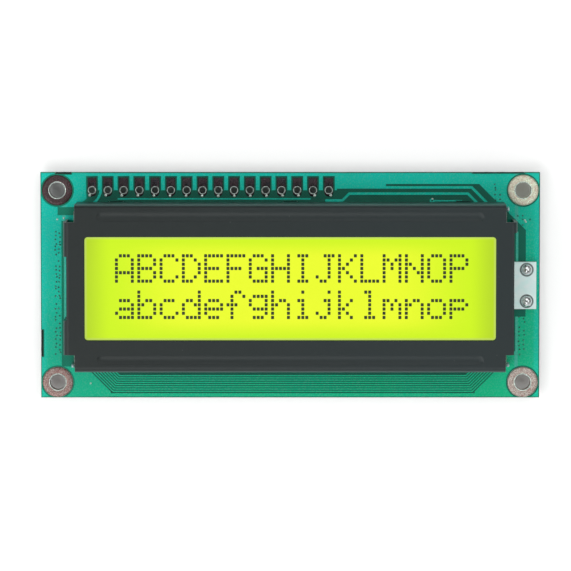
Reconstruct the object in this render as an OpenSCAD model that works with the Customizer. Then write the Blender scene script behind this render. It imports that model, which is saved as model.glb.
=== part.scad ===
// Character liquid crystal display module. A folded steel bezel holds a liquid crystal cell and an LED
// backlight against a circuit board, and six twisted tabs lock it on. The module lies on its back with the
// display facing up (+Z), its long side along X and the header row at +Y. The origin is under the middle of
// the board, at the level of the tab tips.

/* [Circuit board] */
// Length of the board along X
board_w = 80.4; // [79:0.1:100]
// Width of the board along Y
board_h = 36.4; // [36:0.1:50]
// Thickness of the bare board
board_t = 1.6; // [1:0.1:2.4]
// Thickness of the copper on each face
copper_t = 0.05; // [0.03:0.01:0.1]
// Bare gap between a pour and the land, pad or edge beside it
copper_gap = 0.25; // [0.15:0.05:0.5]

/* [Mounting holes] */
// Distance from each short edge to the hole centres
hole_margin_x = 2.7; // [2.6:0.1:4]
// Distance from the header edge to the upper hole centres
hole_margin_top = 2.9; // [2.6:0.1:4]
// Distance from the opposite edge to the lower hole centres
hole_margin_bottom = 2.5; // [2.5:0.1:4]
// Finished diameter of the plated mounting holes
hole_d = 2.5; // [2:0.1:3.2]
// Diameter of the tinned land round each mounting hole
land_d = 4.9; // [4:0.1:5]

/* [Header row] */
// Number of header holes
header_count = 16; // [8:1:16]
// Distance between header holes
header_pitch = 2.54; // [2:0.01:2.54]
// Distance along X from the mounting hole to the first header hole
header_inset = 5.6; // [5:0.1:8]
// Finished diameter of the header holes
header_hole_d = 1; // [0.8:0.05:1.1]
// Width of a header pad
pad_w = 1.42; // [1.2:0.02:1.6]
// Reach of a header pad from its hole towards the board's edge
pad_reach = 2.03; // [1.2:0.01:2.3]
// Distance from a header hole to the middle of its pad's round end
pad_tail = 0.3; // [0.1:0.05:0.5]

/* [Bezel] */
// Distance from each short side of the bezel to the board's edge
bezel_margin_x = 4.05; // [3.8:0.05:8]
// Distance from each long side of the bezel to the board's edge
bezel_margin_y = 4.8; // [4.7:0.05:6]
// Height of the bezel's face above the board's copper
bezel_rise = 8.6; // [7:0.1:12]
// Thickness of the steel sheet
sheet_t = 0.45; // [0.3:0.05:0.6]
// Outside radius of the bends
bend_r = 0.9; // [0.7:0.1:1.1]
// Length of each corner notch along X
notch_x = 1.8; // [1.1:0.1:3]
// Length of each corner notch along Y
notch_y = 2.8; // [1.2:0.1:4]
// Length of each of the two flaps that form the left short wall
flap_l = 5.5; // [3:0.1:7]
// Length of the one flap of the right short wall, which leaves the side open for the backlight
short_flap_l = 1.7; // [1:0.1:4]
// Distance by which the face's edge stands back where there is no flap
edge_setback = 0.5; // [0.3:0.05:0.8]
// Breadth of the frame between the window and each short side
window_margin_x = 3.4; // [3:0.05:8]
// Breadth of the frame between the window and each long side
window_margin_y = 5.175; // [4.4:0.025:7]
// Corner radius of the display window
window_r = 0.5; // [0.3:0.1:2]
// Bevel round the window's upper edge
window_bevel = 0.12; // [0.05:0.01:0.2]

/* [Stiffening grooves] */
// Distance from the ends of each pressed groove to the short sides
groove_end_margin = 5.3; // [4:0.05:15]
// Breadth of each groove
groove_breadth = 1.5; // [0.8:0.1:1.6]
// Depth of each groove below the face
groove_depth = 0.2; // [0.1:0.05:0.2]
// Distance from the bezel's long outer side to the middle of a groove
groove_inset = 1.97; // [1.8:0.01:2.3]

/* [Locking tabs] */
// Distance from the outer tabs to the short sides of the bezel
tab_inset = 8.15; // [5:0.05:16]
// Width of a tab
tab_w = 2.2; // [1.5:0.1:3]
// Depth of the tab tips below the board's back
tab_drop = 1.7; // [1.6:0.05:2.5]
// Height over which a tab twists
twist_h = 0.7; // [0.5:0.1:1]
// Angle through which a tab twists
twist_angle = 40; // [20:5:60]
// Clearance round a tab in its slot
slot_gap = 0.1; // [0.05:0.05:0.4]

/* [Display cell] */
// Thickness of each glass plate
glass_t = 1.1; // [0.7:0.1:1.1]
// Thickness of each polariser
polariser_t = 0.25; // [0.15:0.05:0.3]
// Gap between the glass plates
cell_gap = 0.1; // [0.05:0.01:0.15]
// Clearance between the glass and the bezel's short walls
glass_gap_x = 1.2; // [0.8:0.1:1.4]
// Clearance between the glass and the bezel's long walls
glass_gap_y = 0.75; // [0.5:0.05:1]
// Width of the contact ledge along each long edge of the front glass
ledge_w = 2.6; // [2.2:0.1:3]
// Bare rim of the glass round each polariser, at its short edges
polariser_margin_x = 0.95; // [0.5:0.05:1.2]
// Bare rim of the rear glass round its polariser, at its long edges
polariser_margin_y = 0.575; // [0.3:0.025:0.8]
// Width of the seal round the liquid crystal
seal_w = 1; // [0.6:0.1:1.5]
// Length of the filling port in the seal
port_w = 3; // [2:0.1:4]

/* [Contacts] */
// Thickness of a zebra strip along Y
zebra_t = 2; // [1.6:0.1:2.2]
// Distance from the ends of a zebra strip to the short edges of the glass
zebra_margin = 3.5; // [2:0.5:8]
// Clearance between a zebra strip and the rear glass
zebra_gap = 0.3; // [0.2:0.05:0.4]
// Distance between contact fingers
finger_pitch = 1.5; // [1:0.1:3]

/* [Backlight] */
// Thickness of the backlight's circuit board
led_board_t = 1; // [0.6:0.1:1.2]
// Thickness of the diffuser sheet
diffuser_t = 0.3; // [0.2:0.05:0.5]
// Reach of the solder ear beyond the bezel's wall
ear_reach = 3.45; // [3:0.05:3.6]
// Width of the solder ear
ear_w = 7.6; // [7.2:0.1:9]
// Distance between the two backlight pins
pin_pitch = 5.08; // [4:0.01:5.2]
// Diameter of a backlight pin
pin_d = 0.6; // [0.4:0.05:0.7]
// Diameter of a solder joint
joint_d = 1.9; // [1.4:0.1:2]
// Distance between LED cells along X
cell_pitch = 5.4; // [4.8:0.1:8]
// Distance between the two rows of LED cells
cell_row_pitch = 8.6; // [6:0.1:10]

/* [Parts on the back] */
// Diameter of the controller's epoxy blob
controller_d = 14; // [10:0.5:15]
// Diameter of the driver's epoxy blob
driver_d = 12.5; // [10:0.5:14]
// Height of an epoxy blob
blob_h = 1.35; // [0.8:0.05:1.5]
// Distance of each blob from the middle of the board along X
blob_x = 14; // [10:0.5:20]
// Length of a chip resistor or capacitor
chip_l = 2; // [1.6:0.1:2.4]
// Width of a chip resistor or capacitor
chip_w = 1.25; // [0.8:0.05:1.4]
// Height of a chip resistor
resistor_t = 0.5; // [0.4:0.05:0.7]
// Height of a chip capacitor
capacitor_t = 0.9; // [0.6:0.05:1.2]
// Distance between neighbouring chips
chip_pitch = 5; // [4:0.5:5.5]

/* [Hidden] */
$fn = 64;

// Levels from the tab tips upwards
back_z = tab_drop - copper_t;
front_z = tab_drop + board_t;
deck_z = front_z + copper_t;
face_z = deck_z + bezel_rise;
front_glass_z = face_z - sheet_t - polariser_t - glass_t;
seal_z = front_glass_z - cell_gap;
rear_glass_z = seal_z - glass_t;
rear_polariser_z = rear_glass_z - polariser_t;
diffuser_z = rear_polariser_z - diffuser_t;
light_box_z = deck_z + led_board_t;

// Board layout
hole_x = board_w / 2 - hole_margin_x;
hole_top_y = board_h / 2 - hole_margin_top;
hole_bottom_y = -board_h / 2 + hole_margin_bottom;
hole_sites = [
    [-hole_x, hole_top_y],
    [hole_x, hole_top_y],
    [-hole_x, hole_bottom_y],
    [hole_x, hole_bottom_y]
];
header_x = -hole_x + header_inset;
header_end_x = header_x + (header_count - 1) * header_pitch;
header_sites = [for (i = [0 : header_count - 1]) [header_x + i * header_pitch, hole_top_y]];
bezel_w = board_w - 2 * bezel_margin_x;
bezel_h = board_h - 2 * bezel_margin_y;
wall_y = bezel_h / 2 - sheet_t / 2;
wall_l = bezel_h - 2 * notch_y;
tab_pitch = bezel_w / 2 - tab_inset;
tab_sites = [for (side = [-1, 1], i = [-1 : 1]) [i * tab_pitch, side * wall_y]];

// Notches left where the board was snapped out of its panel: middle, length and depth of each
nib_left = [-board_h / 2 + 8.8, 4.3, 0.4];
nib_top_left = [-board_w / 2 + 3.7, 2.6, 0.3];
nib_top_right = [board_w / 2 - 6.7, 8.4, 0.15];

// Display stack
inner_w = bezel_w - 2 * sheet_t;
inner_h = bezel_h - 2 * sheet_t;
glass_w = inner_w - 2 * glass_gap_x;
front_glass_h = inner_h - 2 * glass_gap_y;
rear_glass_h = front_glass_h - 2 * ledge_w;
window_w = bezel_w - 2 * window_margin_x;
window_h = bezel_h - 2 * window_margin_y;
groove_w = bezel_w - 2 * groove_end_margin;
pressed = min(groove_depth, polariser_t - 0.05);
polariser_w = glass_w - 2 * polariser_margin_x;
polariser_h = rear_glass_h - 2 * polariser_margin_y;
seal_inset = 0.3;
zebra_w = glass_w - 2 * zebra_margin;
zebra_y = rear_glass_h / 2 + zebra_gap + zebra_t / 2;
finger_w = finger_pitch * 0.55;
finger_l = zebra_t - 0.3;
finger_count = floor(zebra_w / finger_pitch);

// Backlight
ear_x = bezel_w / 2 + ear_reach;
pin_x = ear_x - 1.55;
pin_hole_d = pin_d + 0.3;
joint_rise = 0.75;
pin_tail = 1;
cell_floor_d = 3.2;
cell_mouth_d = 4.6;
cell_columns = floor((glass_w - 2) / cell_pitch);
die_w = 0.6;
die_t = 0.3;
die_sites = [
    for (i = [0 : cell_columns - 1], side = [-1, 1])
        [(i - (cell_columns - 1) / 2) * cell_pitch, side * cell_row_pitch / 2]
];

// Chips on the back: one row inside the upper tabs and one row inside the lower tabs
blob_y = -1;
upper_chip_y = wall_y - 3.725;
lower_chip_y = -wall_y + 2.175;
resistor_sites = [
    for (i = [0 : 3]) [tab_pitch + (i - 3) * chip_pitch, upper_chip_y],
    for (i = [0 : 3]) [-tab_pitch + i * chip_pitch, lower_chip_y]
];
capacitor_sites = [for (i = [0 : 2]) [tab_pitch / 2 + (i - 2) * chip_pitch, lower_chip_y]];
chip_end = 0.35;
chip_foot = 0.5;

// Copper layout
rim_inset = 0.15;
rim_w = 0.55;
bus_count = 8;
bus_w = 0.2;
bus_pitch = 0.362;
bus_left_x = -bezel_w / 2 + 7.55;
bus_right_x = bezel_w / 2 - 6.75;
bus_y = -board_h / 2 + rim_inset + rim_w + 0.3;
bus_step = bus_pitch * tan(22.5);
track_w = 0.4;
stub_x = -bezel_w / 2 + 3.95;
stub_y = bus_y + 1.3;
turn_x = bezel_w / 2 - 6.95;
via_d = 0.7;
via_hole_d = 0.3;
pour_x = board_w / 2 - rim_inset;
pour_y = board_h / 2 - rim_inset;

mask_green = [0.08, 0.46, 0.37];
pour_green = [0.13, 0.66, 0.55];
tin = [0.80, 0.78, 0.72];
bezel_black = [0.16, 0.18, 0.20];
clear_glass = [0.80, 0.90, 0.85, 0.6];
display_green = [0.80, 0.98, 0.20];
white_plastic = [0.88, 0.90, 0.88];
epoxy_black = [0.07, 0.07, 0.08];

// ---- Plane shapes ----

module rounded_rect(w, h, r) {
    square([w, h - 2 * r], center = true);
    square([w - 2 * r, h], center = true);
    for (x = [-1, 1], y = [-1, 1])
        translate([x * (w / 2 - r), y * (h / 2 - r)])
            circle(r);
}

// Outline of a header pad round its hole, grown by a clearance
module pad_outline(grow = 0) {
    translate([-pad_w / 2 - grow, -pad_tail])
        square([pad_w + 2 * grow, pad_tail + pad_reach + grow]);
    translate([0, -pad_tail])
        circle(d = pad_w + 2 * grow);
}

// Area that the snapped nibs take from the board, grown by a clearance
module nibs(grow = 0) {
    translate([-board_w / 2, nib_left[0]])
        square([2 * (nib_left[2] + grow), nib_left[1] + 2 * grow], center = true);
    for (nib = [nib_top_left, nib_top_right])
        translate([nib[0], board_h / 2])
            square([nib[1] + 2 * grow, 2 * (nib[2] + grow)], center = true);
}

// Slot for a locking tab, grown by a clearance
module tab_slot(grow = 0) {
    reach = 2 * (slot_gap + grow);
    square([tab_w + reach, sheet_t + reach], center = true);
}

// A track through the listed points, with round joints
module track(points, width) {
    for (p = points)
        translate(p)
            circle(d = width, $fn = 12);
    for (i = [0 : len(points) - 2])
        track_run(points[i], points[i + 1], width);
}

module track_run(from, to, width) {
    run = to - from;
    translate(from)
        rotate(atan2(run.y, run.x))
            translate([0, -width / 2])
                square([norm(run), width]);
}

// ---- Circuit board ----

module circuit_board() {
    color(mask_green)
        translate([0, 0, tab_drop])
            linear_extrude(board_t)
                difference() {
                    square([board_w, board_h], center = true);
                    nibs();
                    for (site = hole_sites)
                        translate(site)
                            circle(d = hole_d + 2 * copper_t);
                    for (site = header_sites)
                        translate(site)
                            circle(d = header_hole_d + 2 * copper_t);
                    for (site = tab_sites)
                        translate(site)
                            tab_slot();
                    for (side = [-1, 1])
                        translate([pin_x, side * pin_pitch / 2])
                            circle(d = pin_hole_d);
                }
}

// Tinned land on both faces of the board with the plating between them
module mount_land(i) {
    color(tin)
        translate(hole_sites[i - 1])
            difference() {
                union() {
                    for (z = [back_z, front_z])
                        translate([0, 0, z])
                            cylinder(h = copper_t, d = land_d);
                    translate([0, 0, back_z])
                        cylinder(h = deck_z - back_z, d = hole_d + 2 * copper_t);
                }
                translate([0, 0, back_z - 1])
                    cylinder(h = deck_z - back_z + 2, d = hole_d);
            }
}

module header_pads() {
    color(tin)
        for (site = header_sites)
            translate(site)
                difference() {
                    union() {
                        for (z = [back_z, front_z])
                            translate([0, 0, z])
                                linear_extrude(copper_t)
                                    pad_outline();
                        translate([0, 0, back_z])
                            cylinder(h = deck_z - back_z, d = header_hole_d + 2 * copper_t);
                    }
                    translate([0, 0, back_z - 1])
                        cylinder(h = deck_z - back_z + 2, d = header_hole_d);
                }
}

// ---- Copper on the front face ----

// Wide strip along the header edge. It runs down between the pads, and reaches the bezel at both ends.
module header_pour() {
    shelf_y = hole_top_y + 1;
    slope_x = turn_x + 1.2;
    bay_x = header_end_x + 9.2;
    bay_y = hole_top_y + 0.25;
    polygon([
        [-pour_x, pour_y],
        [pour_x, pour_y],
        [pour_x, wall_y],
        [slope_x + shelf_y - wall_y, wall_y],
        [slope_x, shelf_y],
        [bay_x, shelf_y],
        [bay_x, bay_y],
        [header_end_x + 1.3, bay_y],
        [header_end_x + 1.3, hole_top_y],
        [header_x - 0.9, hole_top_y],
        [header_x - 0.9, hole_top_y - 1.4],
        [header_x - 1.9, wall_y],
        [-pour_x, wall_y]
    ]);
}

// Strip down the left edge, its two branches into the bezel's corner notch, and a track beside the wall
module left_pour() {
    inner_x = -bezel_w / 2 - 0.7;
    notch_end_x = -bezel_w / 2 + notch_x;
    branch_y = wall_y - 1.9;
    polygon([
        [-pour_x, hole_bottom_y],
        [inner_x, hole_bottom_y],
        [inner_x, branch_y - 0.9],
        [notch_end_x, branch_y - 0.9],
        [notch_end_x, branch_y],
        [inner_x - 0.6, branch_y],
        [inner_x - 0.6, wall_y - 0.6],
        [notch_end_x, wall_y - 0.6],
        [notch_end_x, wall_y],
        [-pour_x, wall_y]
    ]);
    track([[-bezel_w / 2 - 0.1, -wall_l / 2], [-bezel_w / 2 - 0.1, wall_l / 2]], track_w);
}

// Strip down the right edge, split by the bare stretch beside the backlight's ear
module right_pour() {
    inner_x = bezel_w / 2 + 1.8;
    corner_x = bezel_w / 2 - notch_x;
    slope_y = wall_y - 4.3;
    polygon([
        [pour_x, wall_y],
        [corner_x, wall_y],
        [corner_x, slope_y + inner_x - corner_x],
        [inner_x, slope_y],
        [inner_x, 0],
        [pour_x, 0]
    ]);
    translate([bezel_w / 2 + 0.15, hole_bottom_y])
        square([pour_x - bezel_w / 2 - 0.15, -ear_w / 2 - 1.3 - hole_bottom_y]);
    translate([corner_x, hole_bottom_y])
        square([notch_x + 0.2, notch_y - bezel_h / 2 - 0.1 - hole_bottom_y]);
    translate([inner_x, -ear_w / 2 - 2])
        square([pour_x - inner_x, ear_w / 2 + 2.5]);
    track([[bezel_w / 2 + 0.4, wall_y - 4.7], [bezel_w / 2 + 0.4, 0]], track_w);
}

// Strip along the lower edge, with a field at each end that stops short of the bus
module lower_pour() {
    top_y = -wall_y;
    slope = bus_y - top_y;
    for (end = [[-1, bus_left_x - 0.4], [1, bus_right_x + 0.4]])
        polygon([
            [end[0] * pour_x, -pour_y],
            [end[0] * pour_x, top_y],
            [end[1] - end[0] * slope, top_y],
            [end[1], bus_y],
            [end[1], -pour_y]
        ]);
    translate([-pour_x, -pour_y])
        square([2 * pour_x, rim_w]);
}

// Parallel tracks along the lower edge that turn in towards the bezel at both ends
module bus() {
    end_y = -bezel_h / 2 - 0.15;
    for (i = [0 : bus_count - 1]) {
        y = bus_y + i * bus_pitch;
        rise = end_y - y;
        left_x = bus_left_x + i * bus_step;
        right_x = bus_right_x - i * bus_step;
        track([[left_x - rise, end_y], [left_x, y], [right_x, y], [right_x + rise, end_y]], bus_w);
    }
}

// Tracks that leave the header region and slip under the bezel
module header_tracks() {
    upper_y = hole_top_y + 0.45;
    lower_y = hole_top_y - 0.55;
    start_x = header_end_x + 2.2;
    track([[header_end_x + 8.4, upper_y], [turn_x, upper_y], [turn_x + upper_y - wall_y, wall_y]], track_w);
    track([[start_x - 2.6, lower_y - 1.1], [start_x, lower_y - 1.1], [start_x + 1.1, lower_y],
           [turn_x - 0.6, lower_y], [turn_x - 0.6 + lower_y - wall_y, wall_y]], track_w);
    track([[turn_x - 6.4, lower_y - 1.15], [turn_x - 1.6, lower_y - 1.15]], bus_w);
    track([for (a = [0 : 15 : 60]) [header_x + 1.45 - 3 * (1 - cos(a)), hole_top_y + 0.3 - 3 * sin(a)]],
          track_w);
    track([[header_x + 4.2, hole_top_y - 1.4], [header_end_x - 3, hole_top_y - 1.4]], bus_w);
}

module via_field(hole = false) {
    for (site = [[-hole_x + 1.1, wall_y - 2.4], [stub_x, stub_y], [hole_x + 1.1, wall_y - 2.6],
                 [hole_x - 2.6, wall_y - 1], [turn_x - 6.4, hole_top_y - 1.7],
                 [hole_x - 4.5, hole_top_y + 0.4]])
        translate(site)
            circle(d = hole ? via_hole_d : via_d, $fn = 24);
}

module front_copper() {
    color(pour_green)
        translate([0, 0, front_z])
            linear_extrude(copper_t)
                difference() {
                    union() {
                        header_pour();
                        left_pour();
                        right_pour();
                        lower_pour();
                        bus();
                        header_tracks();
                        via_field();
                    }
                    via_field(hole = true);
                    nibs(copper_gap / 2);
                    for (site = hole_sites)
                        translate(site)
                            circle(d = land_d + 2 * copper_gap);
                    for (site = header_sites)
                        translate(site)
                            pad_outline(copper_gap);
                    for (site = tab_sites)
                        translate(site)
                            tab_slot(copper_gap / 2);
                    for (side = [-1, 1])
                        translate([pin_x, side * pin_pitch / 2])
                            circle(d = joint_d + 2 * copper_gap);
                }
}

// ---- Copper on the back face ----

// Tracks from the header fan in to the controller, and more tracks join the controller to the driver
module back_copper() {
    fan_y = wall_y - sheet_t - slot_gap - 0.8;
    fan_pitch = 0.6;
    neck_y = blob_y + controller_d / 2 + 0.4;
    color(pour_green)
        translate([0, 0, back_z])
            linear_extrude(copper_t)
                difference() {
                    union() {
                        for (i = [0 : header_count - 1])
                            if (clear_of_tabs(header_sites[i].x))
                                fan_track(header_sites[i], fan_y, neck_y,
                                          -blob_x + (i - (header_count - 1) / 2) * fan_pitch);
                        for (i = [-4 : 4])
                            track([[-blob_x, blob_y + i * fan_pitch], [blob_x, blob_y + i * fan_pitch]], bus_w);
                    }
                    for (site = header_sites)
                        translate(site)
                            pad_outline();
                }
}

module fan_track(site, fan_y, neck_y, end_x) {
    track([site, [site.x, fan_y], [end_x, neck_y], [end_x, blob_y]], bus_w);
}

// A header track keeps off the slots of the tabs
function clear_of_tabs(x) =
    min([for (site = tab_sites) abs(site.x - x)]) > tab_w / 2 + slot_gap + bus_w;

// ---- Bezel ----

module channel_outline(width, rise, r) {
    translate([-width / 2, 0])
        square([width, rise - r]);
    translate([-width / 2 + r, 0])
        square([width - 2 * r, rise]);
    for (side = [-1, 1])
        translate([side * (width / 2 - r), rise - r])
            circle(r);
}

// Section of the folded sheet, with a leg down each side
module channel_section(width) {
    difference() {
        channel_outline(width, bezel_rise, bend_r);
        channel_outline(width - 2 * sheet_t, bezel_rise - sheet_t, bend_r - sheet_t);
    }
}

// Long and short walls with the face between them. The corners stay open.
module folded_sheet() {
    translate([0, 0, deck_z]) {
        rotate([90, 0, 90])
            linear_extrude(bezel_w - 2 * notch_x, center = true)
                channel_section(bezel_h);
        rotate([90, 0, 0])
            linear_extrude(wall_l, center = true)
                channel_section(bezel_w);
    }
}

// Window through the face, its upper edge bevelled
module window_cut() {
    over = 0.3;
    half_w = window_w / 2 - window_r;
    half_h = window_h / 2 - window_r;
    translate([0, 0, face_z - sheet_t - over])
        linear_extrude(sheet_t + 2 * over)
            rounded_rect(window_w, window_h, window_r);
    translate([0, 0, face_z - window_bevel]) {
        rotate([90, 0, 90])
            linear_extrude(2 * half_w, center = true)
                bevel_section(window_h / 2, over);
        rotate([90, 0, 0])
            linear_extrude(2 * half_h, center = true)
                bevel_section(window_w / 2, over);
        for (x = [-1, 1], y = [-1, 1])
            translate([x * half_w, y * half_h, 0])
                cylinder(h = window_bevel + over, r1 = window_r, r2 = window_r + window_bevel + over);
    }
}

module bevel_section(half, over) {
    reach = window_bevel + over;
    polygon([[-half, 0], [half, 0], [half + reach, reach], [-half - reach, reach]]);
}

// Long round-nosed tool that presses a groove down into the face
module press_tool() {
    tool_r = (groove_breadth * groove_breadth / 4 + pressed * pressed) / (2 * pressed);
    half = (groove_w - groove_breadth) / 2;
    translate([0, 0, face_z - pressed + tool_r]) {
        rotate([0, 90, 0])
            cylinder(h = 2 * half, r = tool_r, center = true);
        for (side = [-1, 1])
            translate([side * half, 0, 0])
                sphere(tool_r);
    }
}

// Lower side of a groove, where the pressed sheet bulges towards the glass
module groove_belly() {
    intersection() {
        translate([0, 0, -sheet_t])
            press_tool();
        translate([-bezel_w / 2, -bend_r, face_z - 2 * sheet_t])
            cube([bezel_w, bend_r * 2, sheet_t * 1.5]);
    }
}

// Stretch of a short side, between two Y values, where the bend and the wall are cut away
module flap_gap(side, low, high) {
    translate([side * (bezel_w / 2 - edge_setback + bezel_w / 2), (low + high) / 2, deck_z + bezel_rise / 2])
        cube([bezel_w, high - low, bezel_rise + 2], center = true);
}

// Tab through its slot. Its lower end is twisted to lock against the board's back.
module locking_tab(side) {
    translate([0, 0, tab_drop])
        linear_extrude(deck_z + 1 - tab_drop)
            square([tab_w, sheet_t], center = true);
    translate([0, 0, tab_drop - twist_h])
        rotate(-side * twist_angle)
            linear_extrude(twist_h, twist = -side * twist_angle, slices = 6, segments = 4)
                square([tab_w, sheet_t], center = true);
    rotate(-side * twist_angle)
        linear_extrude(tab_drop - twist_h)
            square([tab_w, sheet_t], center = true);
}

module bezel() {
    color(bezel_black)
        difference() {
            union() {
                folded_sheet();
                for (side = [-1, 1])
                    translate([0, side * (bezel_h / 2 - groove_inset), 0])
                        groove_belly();
                for (site = tab_sites)
                    translate(site)
                        locking_tab(sign(site.y));
            }
            window_cut();
            for (side = [-1, 1])
                translate([0, side * (bezel_h / 2 - groove_inset), 0])
                    press_tool();
            flap_gap(-1, -wall_l / 2 + flap_l, wall_l / 2 - flap_l);
            flap_gap(1, -wall_l / 2 - 1, wall_l / 2 - short_flap_l);
        }
}

// ---- Display cell ----

module plate(w, h, t, z) {
    translate([0, 0, z])
        linear_extrude(t)
            square([w, h], center = true);
}

module front_polariser() {
    color(display_green)
        plate(polariser_w, polariser_h, polariser_t, front_glass_z + glass_t);
}

module front_glass() {
    color(clear_glass)
        plate(glass_w, front_glass_h, glass_t, front_glass_z);
}

module cell_seal() {
    color("gainsboro")
        difference() {
            plate(glass_w - 2 * seal_inset, rear_glass_h - 2 * seal_inset, cell_gap, seal_z);
            translate([0, 0, seal_z - 1])
                linear_extrude(cell_gap + 2)
                    seal_opening();
        }
}

// Inside of the seal, open at its right end for filling
module seal_opening() {
    square([glass_w - 2 * seal_inset - 2 * seal_w, rear_glass_h - 2 * seal_inset - 2 * seal_w], center = true);
    translate([0, -port_w / 2])
        square([glass_w / 2, port_w]);
}

module liquid_crystal() {
    color(display_green)
        plate(glass_w - 2 * seal_inset - 2 * seal_w, rear_glass_h - 2 * seal_inset - 2 * seal_w, cell_gap, seal_z);
}

// Plug in the filling port, with a bead of resin against the edges of both plates
module end_seal() {
    seal_end_x = glass_w / 2 - seal_inset - seal_w;
    color("khaki") {
        translate([seal_end_x, -port_w / 2, seal_z])
            cube([glass_w / 2 - seal_end_x + 0.1, port_w, cell_gap]);
        translate([glass_w / 2, -port_w / 2 - 0.5, seal_z - glass_t / 2])
            cube([0.4, port_w + 1, glass_t + cell_gap]);
    }
}

module rear_glass() {
    color(clear_glass)
        plate(glass_w, rear_glass_h, glass_t, rear_glass_z);
}

module rear_polariser() {
    color(display_green)
        plate(polariser_w, polariser_h, polariser_t, rear_polariser_z);
}

// ---- Contacts between the board and the cell ----

module zebra_strip(side) {
    color("dimgray")
        translate([0, side * zebra_y, deck_z])
            linear_extrude(front_glass_z - deck_z)
                square([zebra_w, zebra_t], center = true);
}

module contact_fingers(side) {
    color(tin)
        for (i = [0 : finger_count - 1])
            translate([(i - (finger_count - 1) / 2) * finger_pitch, side * zebra_y, front_z])
                linear_extrude(copper_t)
                    square([finger_w, finger_l], center = true);
}

// ---- Backlight ----

module diffuser_sheet() {
    color("white")
        plate(glass_w, rear_glass_h, diffuser_t, diffuser_z);
}

// Reflector with one tapered well over each LED
module light_box() {
    color(white_plastic)
        difference() {
            plate(glass_w, rear_glass_h, diffuser_z - light_box_z, light_box_z);
            for (site = die_sites)
                translate([site.x, site.y, light_box_z])
                    cylinder(h = diffuser_z - light_box_z, d1 = cell_floor_d, d2 = cell_mouth_d);
        }
}

// Backlight board, with the ear that carries its two solder joints
module led_board() {
    color(white_plastic)
        translate([0, 0, deck_z])
            linear_extrude(led_board_t)
                difference() {
                    union() {
                        square([glass_w, rear_glass_h], center = true);
                        translate([0, -ear_w / 2])
                            square([ear_x, ear_w]);
                    }
                    for (side = [-1, 1])
                        translate([pin_x, side * pin_pitch / 2])
                            circle(d = pin_hole_d);
                }
}

module led_dies() {
    color("gold")
        for (site = die_sites)
            translate([site.x, site.y, light_box_z])
                linear_extrude(die_t)
                    square(die_w, center = true);
}

module backlight_pin(side) {
    color(tin)
        translate([pin_x, side * pin_pitch / 2, tab_drop - pin_tail])
            cylinder(h = light_box_z + joint_rise / 2 - tab_drop + pin_tail, d = pin_d);
}

// Round drop of solder on the ear, over the end of its pin
module ear_joint(side) {
    drop_r = (joint_d * joint_d / 4 + joint_rise * joint_rise) / (2 * joint_rise);
    color("silver")
        translate([pin_x, side * pin_pitch / 2, light_box_z])
            difference() {
                intersection() {
                    translate([0, 0, joint_rise - drop_r])
                        sphere(drop_r);
                    cylinder(h = joint_rise, d = 2 * joint_d);
                }
                translate([0, 0, -1])
                    cylinder(h = 1 + joint_rise / 2, d = pin_d);
            }
}

// Cone of solder under the board, round the tail of its pin
module back_joint(side) {
    cone_h = pin_tail * 0.7;
    color("silver")
        translate([pin_x, side * pin_pitch / 2, tab_drop - cone_h])
            difference() {
                cylinder(h = cone_h, d1 = pin_d * 1.3, d2 = joint_d);
                translate([0, 0, -1])
                    cylinder(h = cone_h + 2, d = pin_d);
            }
}

// ---- Parts on the back ----

// Low dome of epoxy over a bare chip
module epoxy_blob(x, d) {
    dome_r = (d * d / 4 + blob_h * blob_h) / (2 * blob_h);
    color(epoxy_black)
        translate([x, blob_y, back_z])
            intersection() {
                translate([0, 0, dome_r - blob_h])
                    sphere(dome_r, $fn = 240);
                translate([0, 0, -blob_h])
                    cylinder(h = blob_h, d = 2 * d);
            }
}

module controller_blob() {
    epoxy_blob(-blob_x, controller_d);
}

module driver_blob() {
    epoxy_blob(blob_x, driver_d);
}

// Chip with its two metal ends, which stand a little proud of the body
module chip(site, t) {
    proud = 0.03;
    translate([site.x, site.y, back_z - t])
        linear_extrude(t)
            square([chip_l - 2 * proud, chip_w - 2 * proud], center = true);
    for (side = [-1, 1])
        translate([site.x + side * (chip_l - chip_end) / 2, site.y, back_z - t - proud])
            linear_extrude(t + proud)
                square([chip_end, chip_w], center = true);
}

module resistor(i) {
    color("black")
        chip(resistor_sites[i - 1], resistor_t);
}

module capacitor(i) {
    color("tan")
        chip(capacitor_sites[i - 1], capacitor_t);
}

// Land and fillet of solder at one end of a chip
module solder_foot(rise) {
    rotate([90, 0, 0])
        linear_extrude(chip_w, center = true)
            polygon([
                [-chip_end, 0],
                [-chip_end, copper_t],
                [chip_foot, copper_t],
                [chip_foot, 0],
                [0, -rise],
                [0, 0]
            ]);
}

module chip_solder() {
    color("silver") {
        for (site = resistor_sites)
            chip_feet(site, resistor_t * 0.7);
        for (site = capacitor_sites)
            chip_feet(site, capacitor_t * 0.7);
    }
}

module chip_feet(site, rise) {
    for (side = [0, 1])
        translate([site.x, site.y, back_z])
            mirror([side, 0, 0])
                translate([chip_l / 2, 0, 0])
                    solder_foot(rise);
}

circuit_board();
front_copper();
back_copper();
header_pads();
for (i = [1 : 4])
    mount_land(i);
bezel();
front_polariser();
front_glass();
cell_seal();
end_seal();
liquid_crystal();
rear_glass();
rear_polariser();
zebra_strip(1);  // zebra_strip_top
zebra_strip(-1);  // zebra_strip_bottom
contact_fingers(1);  // contact_fingers_top
contact_fingers(-1);  // contact_fingers_bottom
diffuser_sheet();
light_box();
led_board();
led_dies();
backlight_pin(1);  // backlight_pin_anode
backlight_pin(-1);  // backlight_pin_cathode
ear_joint(1);  // ear_joint_anode
ear_joint(-1);  // ear_joint_cathode
back_joint(1);  // back_joint_anode
back_joint(-1);  // back_joint_cathode
controller_blob();
driver_blob();
for (i = [1 : 8])
    resistor(i);
for (i = [1 : 3])
    capacitor(i);
chip_solder();
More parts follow.
